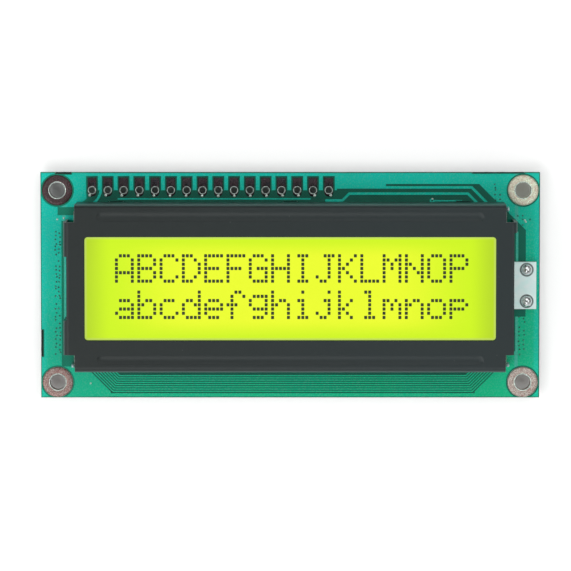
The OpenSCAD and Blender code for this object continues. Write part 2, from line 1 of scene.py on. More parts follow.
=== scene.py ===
# %% [markdown]
# # A character display module under the lamps
#
# The real thing is a sandwich. A green circuit board carries a white backlight and a glass cell, and a folded
# steel bezel holds both down. This lesson starts from the measured parts and gives each one the finish that
# a camera a hand's breadth away would show: lacquer over copper, hot tin, satin black paint, glowing film.
#
# The parts arrive at their true size and place, in metres. They stay as they are. New pieces are only the
# small things that no saw or press makes: drops of solder, torn laminate and the lit dots.

# %% Load the measured parts
import math
import random
import bmesh
import bpy
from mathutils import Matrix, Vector


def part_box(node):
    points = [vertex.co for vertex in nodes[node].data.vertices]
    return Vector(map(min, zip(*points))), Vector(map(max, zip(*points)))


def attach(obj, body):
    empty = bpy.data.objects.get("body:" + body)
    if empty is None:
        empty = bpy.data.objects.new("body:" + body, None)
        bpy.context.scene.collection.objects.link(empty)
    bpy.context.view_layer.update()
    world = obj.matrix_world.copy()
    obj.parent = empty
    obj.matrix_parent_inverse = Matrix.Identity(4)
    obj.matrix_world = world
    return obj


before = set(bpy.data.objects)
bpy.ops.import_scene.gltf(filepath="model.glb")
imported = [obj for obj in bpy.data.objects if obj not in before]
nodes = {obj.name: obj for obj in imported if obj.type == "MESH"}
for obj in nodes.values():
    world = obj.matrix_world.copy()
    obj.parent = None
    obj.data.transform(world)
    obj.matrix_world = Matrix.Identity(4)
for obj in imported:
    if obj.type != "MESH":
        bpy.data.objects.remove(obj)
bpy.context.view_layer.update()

# %% [markdown]
# ## Reading places from the parts
#
# Nothing is placed by eye. The top of the copper, the middle of a hole or the size of the window all follow
# from the boxes of the parts, so this cell keeps the few that later cells need.

# %% Measure the board, the bezel and the display
MM = 0.001
board_low, board_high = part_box("circuit_board")
copper_low, copper_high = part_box("front_copper")
bezel_low, bezel_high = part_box("bezel")
film_low, film_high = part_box("front_polariser")
glass_low, glass_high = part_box("rear_glass")
pads_low, pads_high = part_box("header_pads")
ear_low, ear_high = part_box("led_board")
window_half_w = (film_high.x - film_low.x) / 2 - 0.8 * MM
window_half_h = (film_high.y - film_low.y) / 2 - 0.8 * MM
front_z = board_high.z
deck_z = copper_high.z
back_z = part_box("back_copper")[0].z
film_z = film_high.z
land_boxes = [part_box(f"mount_land_{i}") for i in range(1, 5)]
land_middles = [(low + high) / 2 for low, high in land_boxes]
joint_boxes = [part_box("ear_joint_anode"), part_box("ear_joint_cathode")]
joint_middles = [(low + high) / 2 for low, high in joint_boxes]
print("board front at", round(front_z / MM, 2), "mm, film top at", round(film_z / MM, 2), "mm")

# %% [markdown]
# ## The camera
#
# The module is looked at from almost straight above, with a long lens from two thirds of a metre. The camera
# stands a little beyond the header edge, so that the bezel's upper wall just shows, and it looks back down at
# the middle of the board. A long lens keeps the far and the near edge nearly the same length.

# %% Set up the camera
EYE = Vector((-0.00076, 0.048, front_z + 0.667))
AIM = Vector((-0.00076, -0.00008, front_z))
SENSOR = 36.0
VIEW_WIDTH = 0.09204

camera_data = bpy.data.cameras.new("bench_camera")
camera_data.sensor_width = SENSOR
camera_data.lens = SENSOR * (EYE - AIM).length / VIEW_WIDTH
camera = bpy.data.objects.new("bench_camera", camera_data)
camera.location = EYE
camera.rotation_euler = (-math.atan2(EYE.y - AIM.y, EYE.z - AIM.z), 0, 0)
bpy.context.scene.collection.objects.link(camera)
bpy.context.scene.camera = camera
bpy.context.scene.view_settings.view_transform = "Standard"
print("lens", round(camera_data.lens, 1), "mm")

# %% [markdown]
# ## A few words for building materials
#
# A material is a small network. These helpers add one node each and join it up, so that a recipe further down
# reads as a list of what it does. `paint` turns the numbers of a colour picker into the linear values that
# shaders work in.


# %% Helpers for node networks
def feed(tree, socket, value):
    """Join a socket to this one, or set it to a plain value."""
    if isinstance(value, bpy.types.NodeSocket):
        tree.links.new(value, socket)
    else:
        socket.default_value = value


def put(tree, kind, options=None, **inputs):
    """Add one shader node, with its options set and its named inputs fed."""
    made = tree.nodes.new("ShaderNode" + kind)
    for option, value in (options or {}).items():
        setattr(made, option, value)
    for name, value in inputs.items():
        feed(tree, made.inputs[name.replace("_", " ")], value)
    return made


def sums(tree, operation, first, second=0.0):
    """One step of arithmetic, such as ADD, MULTIPLY, ABSOLUTE or LESS_THAN."""
    made = put(tree, "Math", {"operation": operation})
    feed(tree, made.inputs[0], first)
    feed(tree, made.inputs[1], second)
    return made.outputs[0]


def ease(tree, value, low, high, start=0.0, end=1.0):
    """Go smoothly from start to end while value goes from low to high."""
    made = put(tree, "MapRange", {"interpolation_type": "SMOOTHSTEP"}, Value=value,
               From_Min=low, From_Max=high, To_Min=start, To_Max=end)
    return made.outputs["Result"]


def over(tree, mask, under, top):
    """Lay one colour over another where the mask is 1."""
    made = put(tree, "Mix", {"data_type": "RGBA"})
    feed(tree, made.inputs[0], mask)
    feed(tree, made.inputs[6], under)
    feed(tree, made.inputs[7], top)
    return made.outputs[2]


def paint(red, green, blue):
    """A colour of 0 to 255 as the linear values of a shader."""
    def linear(channel):
        share = channel / 255
        return share / 12.92 if share <= 0.04045 else ((share + 0.055) / 1.055) ** 2.4
    return (linear(red), linear(green), linear(blue), 1.0)


print("teal lacquer is", tuple(round(v, 3) for v in paint(36, 172, 150)))

# %% [markdown]
# ## The paper
#
# The module lies on white paper, which takes a soft shadow. A little glow that only the camera, mirrors and
# clear things see lifts the paper to white, so no extra light falls on the module. The glow stops at the edge
# of the board: real paper is dark under a board, and the holes should show that.


# %% Lay the paper
def lay_paper():
    """A wide sheet under the module, white to the eye but still with a shadow."""
    bpy.ops.mesh.primitive_plane_add(size=4, location=(0, 0, -0.00002))
    paper = bpy.context.object
    paper.name = "paper"
    look = bpy.data.materials.new("white_paper")
    look.use_nodes = True
    tree = look.node_tree
    shader = tree.nodes["Principled BSDF"]
    shader.inputs["Base Color"].default_value = (0.8, 0.8, 0.8, 1)
    shader.inputs["Roughness"].default_value = 0.9
    shader.inputs["Specular IOR Level"].default_value = 0.1
    at = put(tree, "SeparateXYZ", Vector=put(tree, "TexCoord").outputs["Object"]).outputs
    past_end = sums(tree, "GREATER_THAN", sums(tree, "ABSOLUTE", at["X"]), board_high.x - 0.2 * MM)
    past_side = sums(tree, "GREATER_THAN", sums(tree, "ABSOLUTE", at["Y"]), board_high.y - 0.2 * MM)
    open_paper = sums(tree, "MAXIMUM", past_end, past_side)
    rays = put(tree, "LightPath").outputs
    seen = sums(tree, "MAXIMUM", rays["Is Camera Ray"], rays["Is Glossy Ray"])
    seen = sums(tree, "MAXIMUM", seen, rays["Is Transmission Ray"])
    seen = sums(tree, "MULTIPLY", seen, open_paper)
    glow = put(tree, "Emission", Color=(1, 1, 1, 1), Strength=sums(tree, "MULTIPLY", seen, 0.35))
    both = put(tree, "AddShader")
    tree.links.new(shader.outputs[0], both.inputs[0])
    tree.links.new(glow.outputs[0], both.inputs[1])
    tree.links.new(both.outputs[0], tree.nodes["Material Output"].inputs["Surface"])
    paper.data.materials.append(look)
    return paper


bpy.ops.object.select_all(action="DESELECT")
print("floor:", lay_paper().name)

# %% [markdown]
# ## The light
#
# A copy stand is dark straight overhead, where the camera hangs, and bright along the horizon. Flat tin then
# mirrors the dark and every rounded edge picks up a bright line. Most of the light comes from the lower left,
# so the bends on that side shine and the far sides of the bezel lie in soft shadow. Two weak lamps opposite
# keep the shadows open.


# %% Light the room
TOWARDS_LIGHT = Vector((-0.5, -0.86, 0.0))


def light_room(overhead, lit_side, far_side):
    """A grey room, dark straight above and bright along the horizon on the side of the light."""
    world = bpy.data.worlds.new("copy_stand_room")
    world.use_nodes = True
    tree = world.node_tree
    direction = put(tree, "TexCoord").outputs["Generated"]
    height = put(tree, "SeparateXYZ", Vector=direction).outputs["Z"]
    towards = put(tree, "VectorMath", {"operation": "DOT_PRODUCT"})
    feed(tree, towards.inputs[0], direction)
    feed(tree, towards.inputs[1], TOWARDS_LIGHT)
    side = ease(tree, towards.outputs["Value"], -0.5, 0.8, far_side, lit_side)
    low = ease(tree, height, 0.1, 0.75, 1.0, 0.0)
    level = sums(tree, "ADD", sums(tree, "MULTIPLY", low, side), overhead)
    tree.links.new(level, tree.nodes["Background"].inputs["Strength"])
    tree.nodes["Background"].inputs["Color"].default_value = (1, 1, 1, 1)
    bpy.context.scene.world = world


def hang_lamp(name, place, width, watts):
    """A square soft lamp that faces the module."""
    bpy.ops.object.light_add(type="AREA", location=place)
    lamp = bpy.context.object
    lamp.name = name
    lamp.data.shape = "SQUARE"
    lamp.data.size = width
    lamp.data.energy = watts
    lamp.rotation_euler = (-Vector(place)).to_track_quat("-Z", "Y").to_euler()
    return lamp


light_room(overhead=0.12, lit_side=1.0, far_side=0.12)
LAMPS = {
    "lamp_left": ((-0.46, -0.10, 0.66), 0.5, 2.0),
    "lamp_below": ((-0.12, -0.46, 0.66), 0.5, 2.0),
    "lamp_above": ((0.06, 0.46, 0.66), 0.5, 1.4),
    "lamp_right": ((0.46, 0.04, 0.66), 0.5, 1.4),
}
for lamp_name, (place, width, watts) in LAMPS.items():
    hang_lamp(lamp_name, place, width, watts)
print("lamps:", list(LAMPS))

# %% [markdown]
# ## Effects that several finishes share
#
# Grain, specks and a soft edge turn up in most of the finishes below. Each is a node group, made once, with
# named inputs, and every material then sets its own values. All of them read the part's own coordinates, in
# metres, so a pattern stays on the part from every side.


# %% Start a shared effect
def new_effect(name, inputs, outputs):
    """An empty node group with the sockets that are named, each as (name, kind, default)."""
    tree = bpy.data.node_groups.new(name, "ShaderNodeTree")
    for label, kind, default in inputs:
        made = tree.interface.new_socket(name=label, in_out="INPUT", socket_type="NodeSocket" + kind)
        if default is not None:
            made.default_value = default
    for label, kind in outputs:
        tree.interface.new_socket(name=label, in_out="OUTPUT", socket_type="NodeSocket" + kind)
    entry = tree.nodes.new("NodeGroupInput")
    leave = tree.nodes.new("NodeGroupOutput")
    return tree, entry.outputs, leave.inputs


def use_effect(tree, effect, **inputs):
    """Place a shared effect in a material, and return its outputs."""
    made = tree.nodes.new("ShaderNodeGroup")
    made.node_tree = effect
    for name, value in inputs.items():
        feed(tree, made.inputs[name.replace("_", " ")], value)
    return made.outputs


# %% Grain
def make_grain():
    """Cloudy grain, from 0 to 1, with a feature size of one over Scale metres."""
    tree, given, result = new_effect(
        "grain",
        [("Place", "Vector", None), ("Scale", "Float", 1000.0), ("Depth", "Float", 3.0)],
        [("Grain", "Float")])
    noise = put(tree, "TexNoise", Vector=given["Place"], Scale=given["Scale"], Detail=given["Depth"],
                Roughness=0.6)
    spread = ease(tree, noise.outputs["Fac"], 0.3, 0.7)
    tree.links.new(spread, result["Grain"])
    return tree


grain = make_grain()
print("effect:", grain.name)


# %% Specks
def make_specks():
    """Separate round specks, such as dust or pits. Spread is how much of the gap between them they fill."""
    tree, given, result = new_effect(
        "specks",
        [("Place", "Vector", None), ("Scale", "Float", 2000.0), ("Spread", "Float", 0.2)],
        [("Specks", "Float")])
    cells = put(tree, "TexVoronoi", Vector=given["Place"], Scale=given["Scale"])
    pick = put(tree, "SeparateColor", Color=cells.outputs["Color"]).outputs["Red"]
    size = sums(tree, "MULTIPLY", given["Spread"], pick)
    inner = sums(tree, "MULTIPLY", size, 0.6)
    mask = ease(tree, cells.outputs["Distance"], inner, size, 1.0, 0.0)
    tree.links.new(mask, result["Specks"])
    return tree


specks = make_specks()
print("effect:", specks.name)


# %% Distance to the edge of a rectangle
def make_rim():
    """How far inside a rectangle round the origin a point is, in metres. It is negative outside."""
    tree, given, result = new_effect(
        "rim",
        [("Place", "Vector", None), ("Half Width", "Float", 0.03), ("Half Height", "Float", 0.008)],
        [("Inside", "Float"), ("From Side", "Float"), ("From End", "Float")])
    at = put(tree, "SeparateXYZ", Vector=given["Place"]).outputs
    across = sums(tree, "SUBTRACT", given["Half Width"], sums(tree, "ABSOLUTE", at["X"]))
    along = sums(tree, "SUBTRACT", given["Half Height"], sums(tree, "ABSOLUTE", at["Y"]))
    nearest = sums(tree, "MINIMUM", across, along)
    tree.links.new(nearest, result["Inside"])
    tree.links.new(along, result["From Side"])
    tree.links.new(across, result["From End"])
    return tree


rim = make_rim()
print("effect:", rim.name)


# %% Faces that stand upright
def make_upright():
    """1 on faces that stand upright, such as sawn edges, and 0 on faces that lie flat."""
    tree, given, result = new_effect("upright", [("Facing", "Vector", None)], [("Upright", "Float")])
    tilt = put(tree, "SeparateXYZ", Vector=given["Facing"]).outputs["Z"]
    mask = ease(tree, sums(tree, "ABSOLUTE", tilt), 0.5, 0.8, 1.0, 0.0)
    tree.links.new(mask, result["Upright"])
    return tree


upright = make_upright()
print("effect:", upright.name)


# %% Start a finish
def new_finish(name, **constants):
    """A material whose plain values are set on the shader itself."""
    look = bpy.data.materials.new(name)
    look.use_nodes = True
    tree = look.node_tree
    shader = tree.nodes["Principled BSDF"]
    for label, value in constants.items():
        shader.inputs[label.replace("_", " ")].default_value = value
    coordinates = put(tree, "TexCoord").outputs
    return look, tree, shader, coordinates


def dent(tree, shader, height, strength, distance):
    """Feed a height into the shader's normal through a bump."""
    bump = put(tree, "Bump", Strength=strength, Distance=distance, Height=height)
    tree.links.new(bump.outputs["Normal"], shader.inputs["Normal"])


def wear(look, *names):
    """Give a finish to measured parts, in place of the plain one that they came with."""
    for name in names:
        mesh = nodes[name].data
        if not mesh.materials:
            mesh.materials.append(look)
        for i in range(len(mesh.materials)):
            mesh.materials[i] = look
    print(look.name, "on", len(names), "parts")


# %% [markdown]
# ## Lacquer on the bare board
#
# Green solder mask is a glossy lacquer. Where there is no copper below it, the glass cloth of the board shows
# through: a fine weave of darker and lighter threads half a millimetre apart. The sawn edges have no lacquer,
# and show pale laminate in layers.


# %% Solder mask
def solder_mask():
    look, tree, shader, coordinates = new_finish("solder_mask", IOR=1.5, Coat_Weight=0.4, Coat_Roughness=0.06)
    place = coordinates["Object"]
    at = put(tree, "SeparateXYZ", Vector=place).outputs
    thread = 0.00048
    turns = 2 * math.pi / thread
    weft = sums(tree, "SINE", sums(tree, "MULTIPLY", at["X"], turns))
    warp = sums(tree, "SINE", sums(tree, "MULTIPLY", at["Y"], turns))
    weave = ease(tree, sums(tree, "MULTIPLY", weft, warp), -1.0, 1.0)
    cloud = use_effect(tree, grain, Place=place, Scale=260.0, Depth=2.0)["Grain"]
    lacquer = over(tree, weave, paint(4, 82, 66), paint(8, 98, 80))
    lacquer = over(tree, sums(tree, "MULTIPLY", cloud, 0.5), lacquer, paint(10, 104, 84))
    # Beyond the ends of the bezel the bare lacquer is painted lighter, and lighter still towards the left end:
    # painted light, where the bezel casts no shade and the main light comes from.
    painted_light_past_bezel = ease(tree, sums(tree, "ABSOLUTE", at["X"]), 31 * MM, 34 * MM)
    painted_light_leftwards = ease(tree, at["X"], -20 * MM, 20 * MM, 1.0, 0.0)
    painted_lit_side_lacquer = over(tree, painted_light_leftwards, paint(4, 112, 92), paint(14, 136, 110))
    painted_lit_side_lacquer = over(tree, sums(tree, "MULTIPLY", weave, 0.3), painted_lit_side_lacquer, paint(4, 96, 76))
    lacquer = over(tree, painted_light_past_bezel, lacquer, painted_lit_side_lacquer)
    layers = sums(tree, "SINE", sums(tree, "MULTIPLY", at["Z"], 2 * math.pi / 0.0002))
    laminate = over(tree, ease(tree, layers, -1.0, 1.0), paint(96, 146, 118), paint(138, 182, 150))
    fibres = use_effect(tree, grain, Place=place, Scale=5200.0, Depth=2.0)["Grain"]
    laminate = over(tree, sums(tree, "MULTIPLY", fibres, 0.6), laminate, paint(52, 104, 82))
    sawn = use_effect(tree, upright, Facing=coordinates["Normal"])["Upright"]
    tree.links.new(over(tree, sawn, lacquer, laminate), shader.inputs["Base Color"])
    tree.links.new(ease(tree, sawn, 0.0, 1.0, 0.22, 0.75), shader.inputs["Roughness"])
    dent(tree, shader, weave, 0.25, 0.00002)
    return look


wear(solder_mask(), "circuit_board")

# %% [markdown]
# ## Lacquer over copper
#
# Over copper the same lacquer looks brighter, because the metal throws the light back. The lacquer thins at
# the edges of each track and pour, and their upright sides are painted pale, partly as a painted highlight; a
# pale band beside the bezel and along both ends of the board is painted highlight too. Towards the header
# corner the lacquer is painted bluer and lighter as painted light, and large areas have a faint orange peel.


# %% Lacquer over copper
def masked_copper():
    look, tree, shader, coordinates = new_finish("masked_copper", IOR=1.5, Coat_Weight=0.5, Coat_Roughness=0.05)
    place = coordinates["Object"]
    cloud = use_effect(tree, grain, Place=place, Scale=120.0, Depth=2.0)["Grain"]
    fine = use_effect(tree, grain, Place=place, Scale=3800.0, Depth=3.0)["Grain"]
    at = put(tree, "SeparateXYZ", Vector=place).outputs
    # Painted light: the lacquer is painted bluer and lighter towards the upper left.
    up_board = sums(tree, "DIVIDE", at["Y"], board_high.y - board_low.y)
    along_board = sums(tree, "DIVIDE", at["X"], 2.5 * (board_high.x - board_low.x))
    painted_light_drift = ease(tree, sums(tree, "SUBTRACT", up_board, along_board), -0.7, 0.7)
    colour = over(tree, painted_light_drift, paint(2, 190, 132), paint(2, 206, 188))
    colour = over(tree, sums(tree, "MULTIPLY", cloud, 0.3), colour, paint(4, 180, 148))
    colour = over(tree, sums(tree, "MULTIPLY", fine, 0.2), colour, paint(6, 152, 126))
    # Painted highlights: a pale band just outside the bezel, and a paler one along both ends of the board.
    end = sums(tree, "ABSOLUTE", at["X"])
    painted_highlight_by_bezel = sums(tree, "ABSOLUTE", sums(tree, "SUBTRACT", end, bezel_high.x + 0.3 * MM))
    colour = over(tree, ease(tree, painted_highlight_by_bezel, 0.2 * MM, 0.34 * MM, 0.75, 0.0), colour, paint(74, 186, 166))
    colour = over(tree, ease(tree, end, 39.0 * MM, 39.6 * MM, 0.0, 0.5), colour, paint(20, 206, 186))
    # The upright edges of tracks and pours are painted pale: partly thin lacquer over the copper edge, partly a
    # painted highlight.
    side = use_effect(tree, upright, Facing=coordinates["Normal"])["Upright"]
    colour = over(tree, side, colour, paint(70, 205, 185))
    tree.links.new(colour, shader.inputs["Base Color"])
    tree.links.new(ease(tree, fine, 0.0, 1.0, 0.2, 0.3), shader.inputs["Roughness"])
    dent(tree, shader, fine, 0.3, 0.00002)
    return look


lacquer_over_copper = masked_copper()
wear(lacquer_over_copper, "front_copper", "back_copper")

# %% [markdown]
# ## Hot tin
#
# The lands and pads are dipped in molten tin and blown level with hot air. The tin freezes in grains, keeps a
# dull brownish tarnish between them and stays bright on the crests. Each corner's land is given its own tin:
# dark at the upper left, pale at the upper right, pinkish and grey below, as painted reflections of the dark and
# bright parts of the room. The small header pads freeze smooth, and their tin is painted nearly black, a painted
# reflection of the dark ceiling.


# %% Tin
def hot_tin(name, dark, bright, spot, rough):
    """Frozen tin: dark between the grains, bright on them, and spots of tarnish."""
    look, tree, shader, coordinates = new_finish(name, IOR=1.5)
    place = coordinates["Object"]
    crystals = use_effect(tree, grain, Place=place, Scale=5200.0, Depth=4.0)["Grain"]
    tarnish = use_effect(tree, grain, Place=place, Scale=1500.0, Depth=3.0)["Grain"]
    pits = use_effect(tree, specks, Place=place, Scale=4200.0, Spread=0.5)["Specks"]
    colour = over(tree, crystals, dark, bright)
    colour = over(tree, sums(tree, "MULTIPLY", pits, 0.7), colour, spot)
    colour = over(tree, sums(tree, "MULTIPLY", tarnish, 0.4), colour, spot)
    tree.links.new(colour, shader.inputs["Base Color"])
    tree.links.new(ease(tree, crystals, 0.0, 1.0, rough + 0.12, rough - 0.08), shader.inputs["Roughness"])
    tree.links.new(ease(tree, tarnish, 0.0, 1.0, 0.95, 0.7), shader.inputs["Metallic"])
    dent(tree, shader, crystals, 0.6, 0.00003)
    return look


tin_painted_dark_reflection = hot_tin("tin_painted_dark_reflection", paint(44, 38, 38), paint(92, 84, 84), paint(78, 34, 44), 0.3)
tin_painted_bright_reflection = hot_tin("tin_painted_bright_reflection", paint(200, 204, 180), paint(240, 250, 230), paint(196, 150, 136), 0.55)
pink_tin = hot_tin("pink_tin", paint(118, 98, 94), paint(190, 176, 168), paint(146, 78, 76), 0.5)
grey_tin = hot_tin("grey_tin", paint(142, 132, 126), paint(220, 216, 206), paint(150, 92, 84), 0.5)
# The header pads' tin is painted nearly black, a painted reflection of the dark ceiling.
pad_tin_painted_dark_reflection = hot_tin("pad_tin_painted_dark_reflection", paint(30, 38, 44), paint(64, 62, 64), paint(64, 30, 34), 0.24)
# Each corner's land takes its own tin, a painted reflection of the part of the room that it faces.
land_tins = {(-1, 1): tin_painted_dark_reflection, (1, 1): tin_painted_bright_reflection, (-1, -1): pink_tin, (1, -1): grey_tin}


def tin_of_land(middle):
    """The tin of the land in one corner."""
    return land_tins[(1 if middle.x > 0 else -1, 1 if middle.y > 0 else -1)]


for number, middle in enumerate(land_middles, start=1):
    wear(tin_of_land(middle), f"mount_land_{number}")
wear(pad_tin_painted_dark_reflection, "header_pads", "contact_fingers_top", "contact_fingers_bottom")

# %% [markdown]
# ## Black paint on steel
#
# The bezel is stamped from sheet that was painted first: satin black with a faint blue cast and a very fine
# texture. Where the press cut the corners open, the edge of the sheet is raw steel. The upright walls are
# coloured dark teal, a painted reflection of the green board beside them.


# %% Black steel
def black_steel():
    look, tree, shader, coordinates = new_finish("black_steel", IOR=1.45)
    place = coordinates["Object"]
    fine = use_effect(tree, grain, Place=place, Scale=9000.0, Depth=3.0)["Grain"]
    cloud = use_effect(tree, grain, Place=place, Scale=90.0, Depth=2.0)["Grain"]
    dust = use_effect(tree, specks, Place=place, Scale=420.0, Spread=0.07)["Specks"]
    at = put(tree, "SeparateXYZ", Vector=place).outputs
    colour = over(tree, ease(tree, at["X"], -34 * MM, 34 * MM), paint(14, 24, 22), paint(24, 38, 40))
    colour = over(tree, sums(tree, "MULTIPLY", cloud, 0.3), colour, paint(22, 32, 32))
    colour = over(tree, sums(tree, "MULTIPLY", fine, 0.4), colour, paint(28, 40, 40))
    colour = over(tree, sums(tree, "MULTIPLY", dust, 0.2), colour, paint(86, 92, 92))
    # The upright walls are coloured dark teal: a painted reflection of the green board beside them.
    wall = use_effect(tree, upright, Facing=coordinates["Normal"])["Upright"]
    colour = over(tree, wall, colour, paint(8, 66, 60))
    corner = use_effect(tree, rim, Place=place, Half_Width=bezel_high.x - 0.00181,
                        Half_Height=(bezel_high.y - bezel_low.y) / 2 - 0.00346)
    outside_x = ease(tree, corner["From End"], -0.00001, 0.00001, 1.0, 0.0)
    outside_y = ease(tree, corner["From Side"], -0.00001, 0.00001, 1.0, 0.0)
    raw = sums(tree, "MULTIPLY", outside_x, outside_y)
    colour = over(tree, raw, colour, paint(150, 154, 154))
    tree.links.new(colour, shader.inputs["Base Color"])
    tree.links.new(sums(tree, "MULTIPLY", raw, 0.9), shader.inputs["Metallic"])
    tree.links.new(ease(tree, fine, 0.0, 1.0, 0.42, 0.5), shader.inputs["Roughness"])
    dent(tree, shader, fine, 0.2, 0.00001)
    return look


wear(black_steel(), "bezel")

# %% [markdown]
# ## The lit film
#
# Light from two rows of diodes comes up through the cell and makes the front film glow yellow-green. The glow
# is strongest and yellowest in the middle and turns greener towards both ends, where the last diodes stand.
# The edge of the window throws a thin pale line on the film all round.


# %% Display film
def display_film():
    look, tree, shader, coordinates = new_finish("display_film", Roughness=0.35, IOR=1.45)
    place = coordinates["Object"]
    edge = use_effect(tree, rim, Place=place, Half_Width=window_half_w, Half_Height=window_half_h)
    near_end = ease(tree, edge["From End"], 0.0, 4.5 * MM)
    far_in = ease(tree, edge["From End"], 2.0 * MM, 17.0 * MM)
    near_side = ease(tree, edge["From Side"], 0.0, 3.5 * MM)
    veil = use_effect(tree, grain, Place=place, Scale=90.0, Depth=2.0)["Grain"]

    def shade(dim, middle, full, edge_light):
        """The four tones of the film: at its ends, further in, in the middle, and along its rim."""
        tone = over(tree, near_end, dim, middle)
        tone = over(tree, sums(tree, "MULTIPLY", far_in, near_side), tone, full)
        tone = over(tree, sums(tree, "MULTIPLY", veil, 0.12), tone, middle)
        line = ease(tree, edge["Inside"], 0.15 * MM, 0.45 * MM, 0.7, 0.0)
        return over(tree, line, tone, edge_light)

    tree.links.new(shade(paint(182, 216, 26), paint(206, 244, 10), paint(237, 251, 40), paint(200, 224, 110)),
                   shader.inputs["Emission Color"])
    tree.links.new(shade(paint(114, 138, 12), paint(128, 156, 4), paint(148, 160, 14), paint(128, 142, 60)),
                   shader.inputs["Base Color"])
    shader.inputs["Emission Strength"].default_value = 0.66
    return look


wear(display_film(), "front_polariser")


# %% Rear film, glass and the layer between
def rear_film():
    look, tree, shader, coordinates = new_finish("rear_film", Roughness=0.3)
    haze = use_effect(tree, grain, Place=coordinates["Object"], Scale=700.0, Depth=2.0)["Grain"]
    tree.links.new(over(tree, haze, paint(150, 170, 40), paint(172, 192, 56)), shader.inputs["Base Color"])
    return look


def display_glass():
    look, tree, shader, coordinates = new_finish("display_glass", Transmission_Weight=0.85, IOR=1.52)
    ground = use_effect(tree, upright, Facing=coordinates["Normal"])["Upright"]
    tree.links.new(over(tree, ground, paint(226, 240, 232), paint(176, 214, 196)), shader.inputs["Base Color"])
    tree.links.new(ease(tree, ground, 0.0, 1.0, 0.03, 0.45), shader.inputs["Roughness"])
    return look


def crystal_layer():
    look, tree, shader, coordinates = new_finish("crystal_layer", Roughness=0.2)
    haze = use_effect(tree, grain, Place=coordinates["Object"], Scale=400.0, Depth=2.0)["Grain"]
    tree.links.new(over(tree, haze, paint(160, 186, 60), paint(176, 200, 76)), shader.inputs["Base Color"])
    return look


wear(rear_film(), "rear_polariser")
wear(display_glass(), "front_glass", "rear_glass")
wear(crystal_layer(), "liquid_crystal")


# %% Seals and zebra strips
def seal_resin():
    look, tree, shader, coordinates = new_finish("seal_resin", Subsurface_Weight=0.1)
    cloud = use_effect(tree, grain, Place=coordinates["Object"], Scale=1800.0, Depth=3.0)["Grain"]
    tree.links.new(over(tree, cloud, paint(196, 188, 150), paint(222, 214, 180)), shader.inputs["Base Color"])
    tree.links.new(ease(tree, cloud, 0.0, 1.0, 0.35, 0.55), shader.inputs["Roughness"])
    dent(tree, shader, cloud, 0.4, 0.00003)
    return look


def zebra_rubber():
    look, tree, shader, coordinates = new_finish("zebra_rubber", Sheen_Weight=0.1)
    place = coordinates["Object"]
    at = put(tree, "SeparateXYZ", Vector=place).outputs
    layer = 0.0001
    stripes = sums(tree, "SINE", sums(tree, "MULTIPLY", at["X"], 2 * math.pi / layer))
    rubber = over(tree, ease(tree, stripes, -0.3, 0.3), paint(26, 26, 28), paint(120, 118, 112))
    core = ease(tree, sums(tree, "ABSOLUTE", at["Y"]), 0.0103, 0.0104)
    core = sums(tree, "MULTIPLY", core, ease(tree, sums(tree, "ABSOLUTE", at["Y"]), 0.0114, 0.0115, 1.0, 0.0))
    rubber = over(tree, core, paint(206, 200, 192), rubber)
    tree.links.new(rubber, shader.inputs["Base Color"])
    shader.inputs["Roughness"].default_value = 0.7
    return look


wear(seal_resin(), "cell_seal", "end_seal")
wear(zebra_rubber(), "zebra_strip_top", "zebra_strip_bottom")

# %% [markdown]
# ## The white backlight
#
# The reflector is moulded white plastic with a faint flow pattern. The backlight's own small board has white
# lacquer, and its ear shows beside the bezel, with a dark grey ring round each solder joint and a greenish
# sawn edge.


# %% White plastic and diffuser
def white_plastic():
    look, tree, shader, coordinates = new_finish("white_plastic", Subsurface_Weight=0.05)
    flow = use_effect(tree, grain, Place=coordinates["Object"], Scale=300.0, Depth=3.0)["Grain"]
    tree.links.new(over(tree, flow, paint(226, 228, 222), paint(238, 239, 234)), shader.inputs["Base Color"])
    tree.links.new(ease(tree, flow, 0.0, 1.0, 0.45, 0.55), shader.inputs["Roughness"])
    dent(tree, shader, flow, 0.1, 0.00003)
    return look


def diffuser_film():
    look, tree, shader, coordinates = new_finish("diffuser_film")
    frost = use_effect(tree, grain, Place=coordinates["Object"], Scale=8000.0, Depth=2.0)["Grain"]
    tree.links.new(over(tree, frost, paint(232, 234, 224), paint(244, 245, 238)), shader.inputs["Base Color"])
    tree.links.new(ease(tree, frost, 0.0, 1.0, 0.6, 0.8), shader.inputs["Roughness"])
    return look


wear(white_plastic(), "light_box")
wear(diffuser_film(), "diffuser_sheet")


# %% White board of the backlight
def white_board():
    look, tree, shader, coordinates = new_finish("white_board", IOR=1.5, Coat_Weight=0.2, Coat_Roughness=0.1)
    place = coordinates["Object"]
    cloud = use_effect(tree, grain, Place=place, Scale=900.0, Depth=3.0)["Grain"]
    colour = over(tree, cloud, paint(226, 254, 252), paint(238, 255, 254))
    at = put(tree, "SeparateXYZ", Vector=place).outputs
    for middle in joint_middles:
        from_x = sums(tree, "POWER", sums(tree, "ABSOLUTE", sums(tree, "SUBTRACT", at["X"], middle.x)), 2.0)
        from_y = sums(tree, "POWER", sums(tree, "ABSOLUTE", sums(tree, "SUBTRACT", at["Y"], middle.y)), 2.0)
        away = sums(tree, "SQRT", sums(tree, "ADD", from_x, from_y))
        ring = ease(tree, away, 0.00102, 0.0012, 0.9, 0.0)
        colour = over(tree, ring, colour, paint(40, 48, 48))
    sawn = use_effect(tree, upright, Facing=coordinates["Normal"])["Upright"]
    colour = over(tree, sawn, colour, paint(150, 206, 196))
    tree.links.new(colour, shader.inputs["Base Color"])
    tree.links.new(ease(tree, cloud, 0.0, 1.0, 0.3, 0.4), shader.inputs["Roughness"])
    return look


wear(white_board(), "led_board")


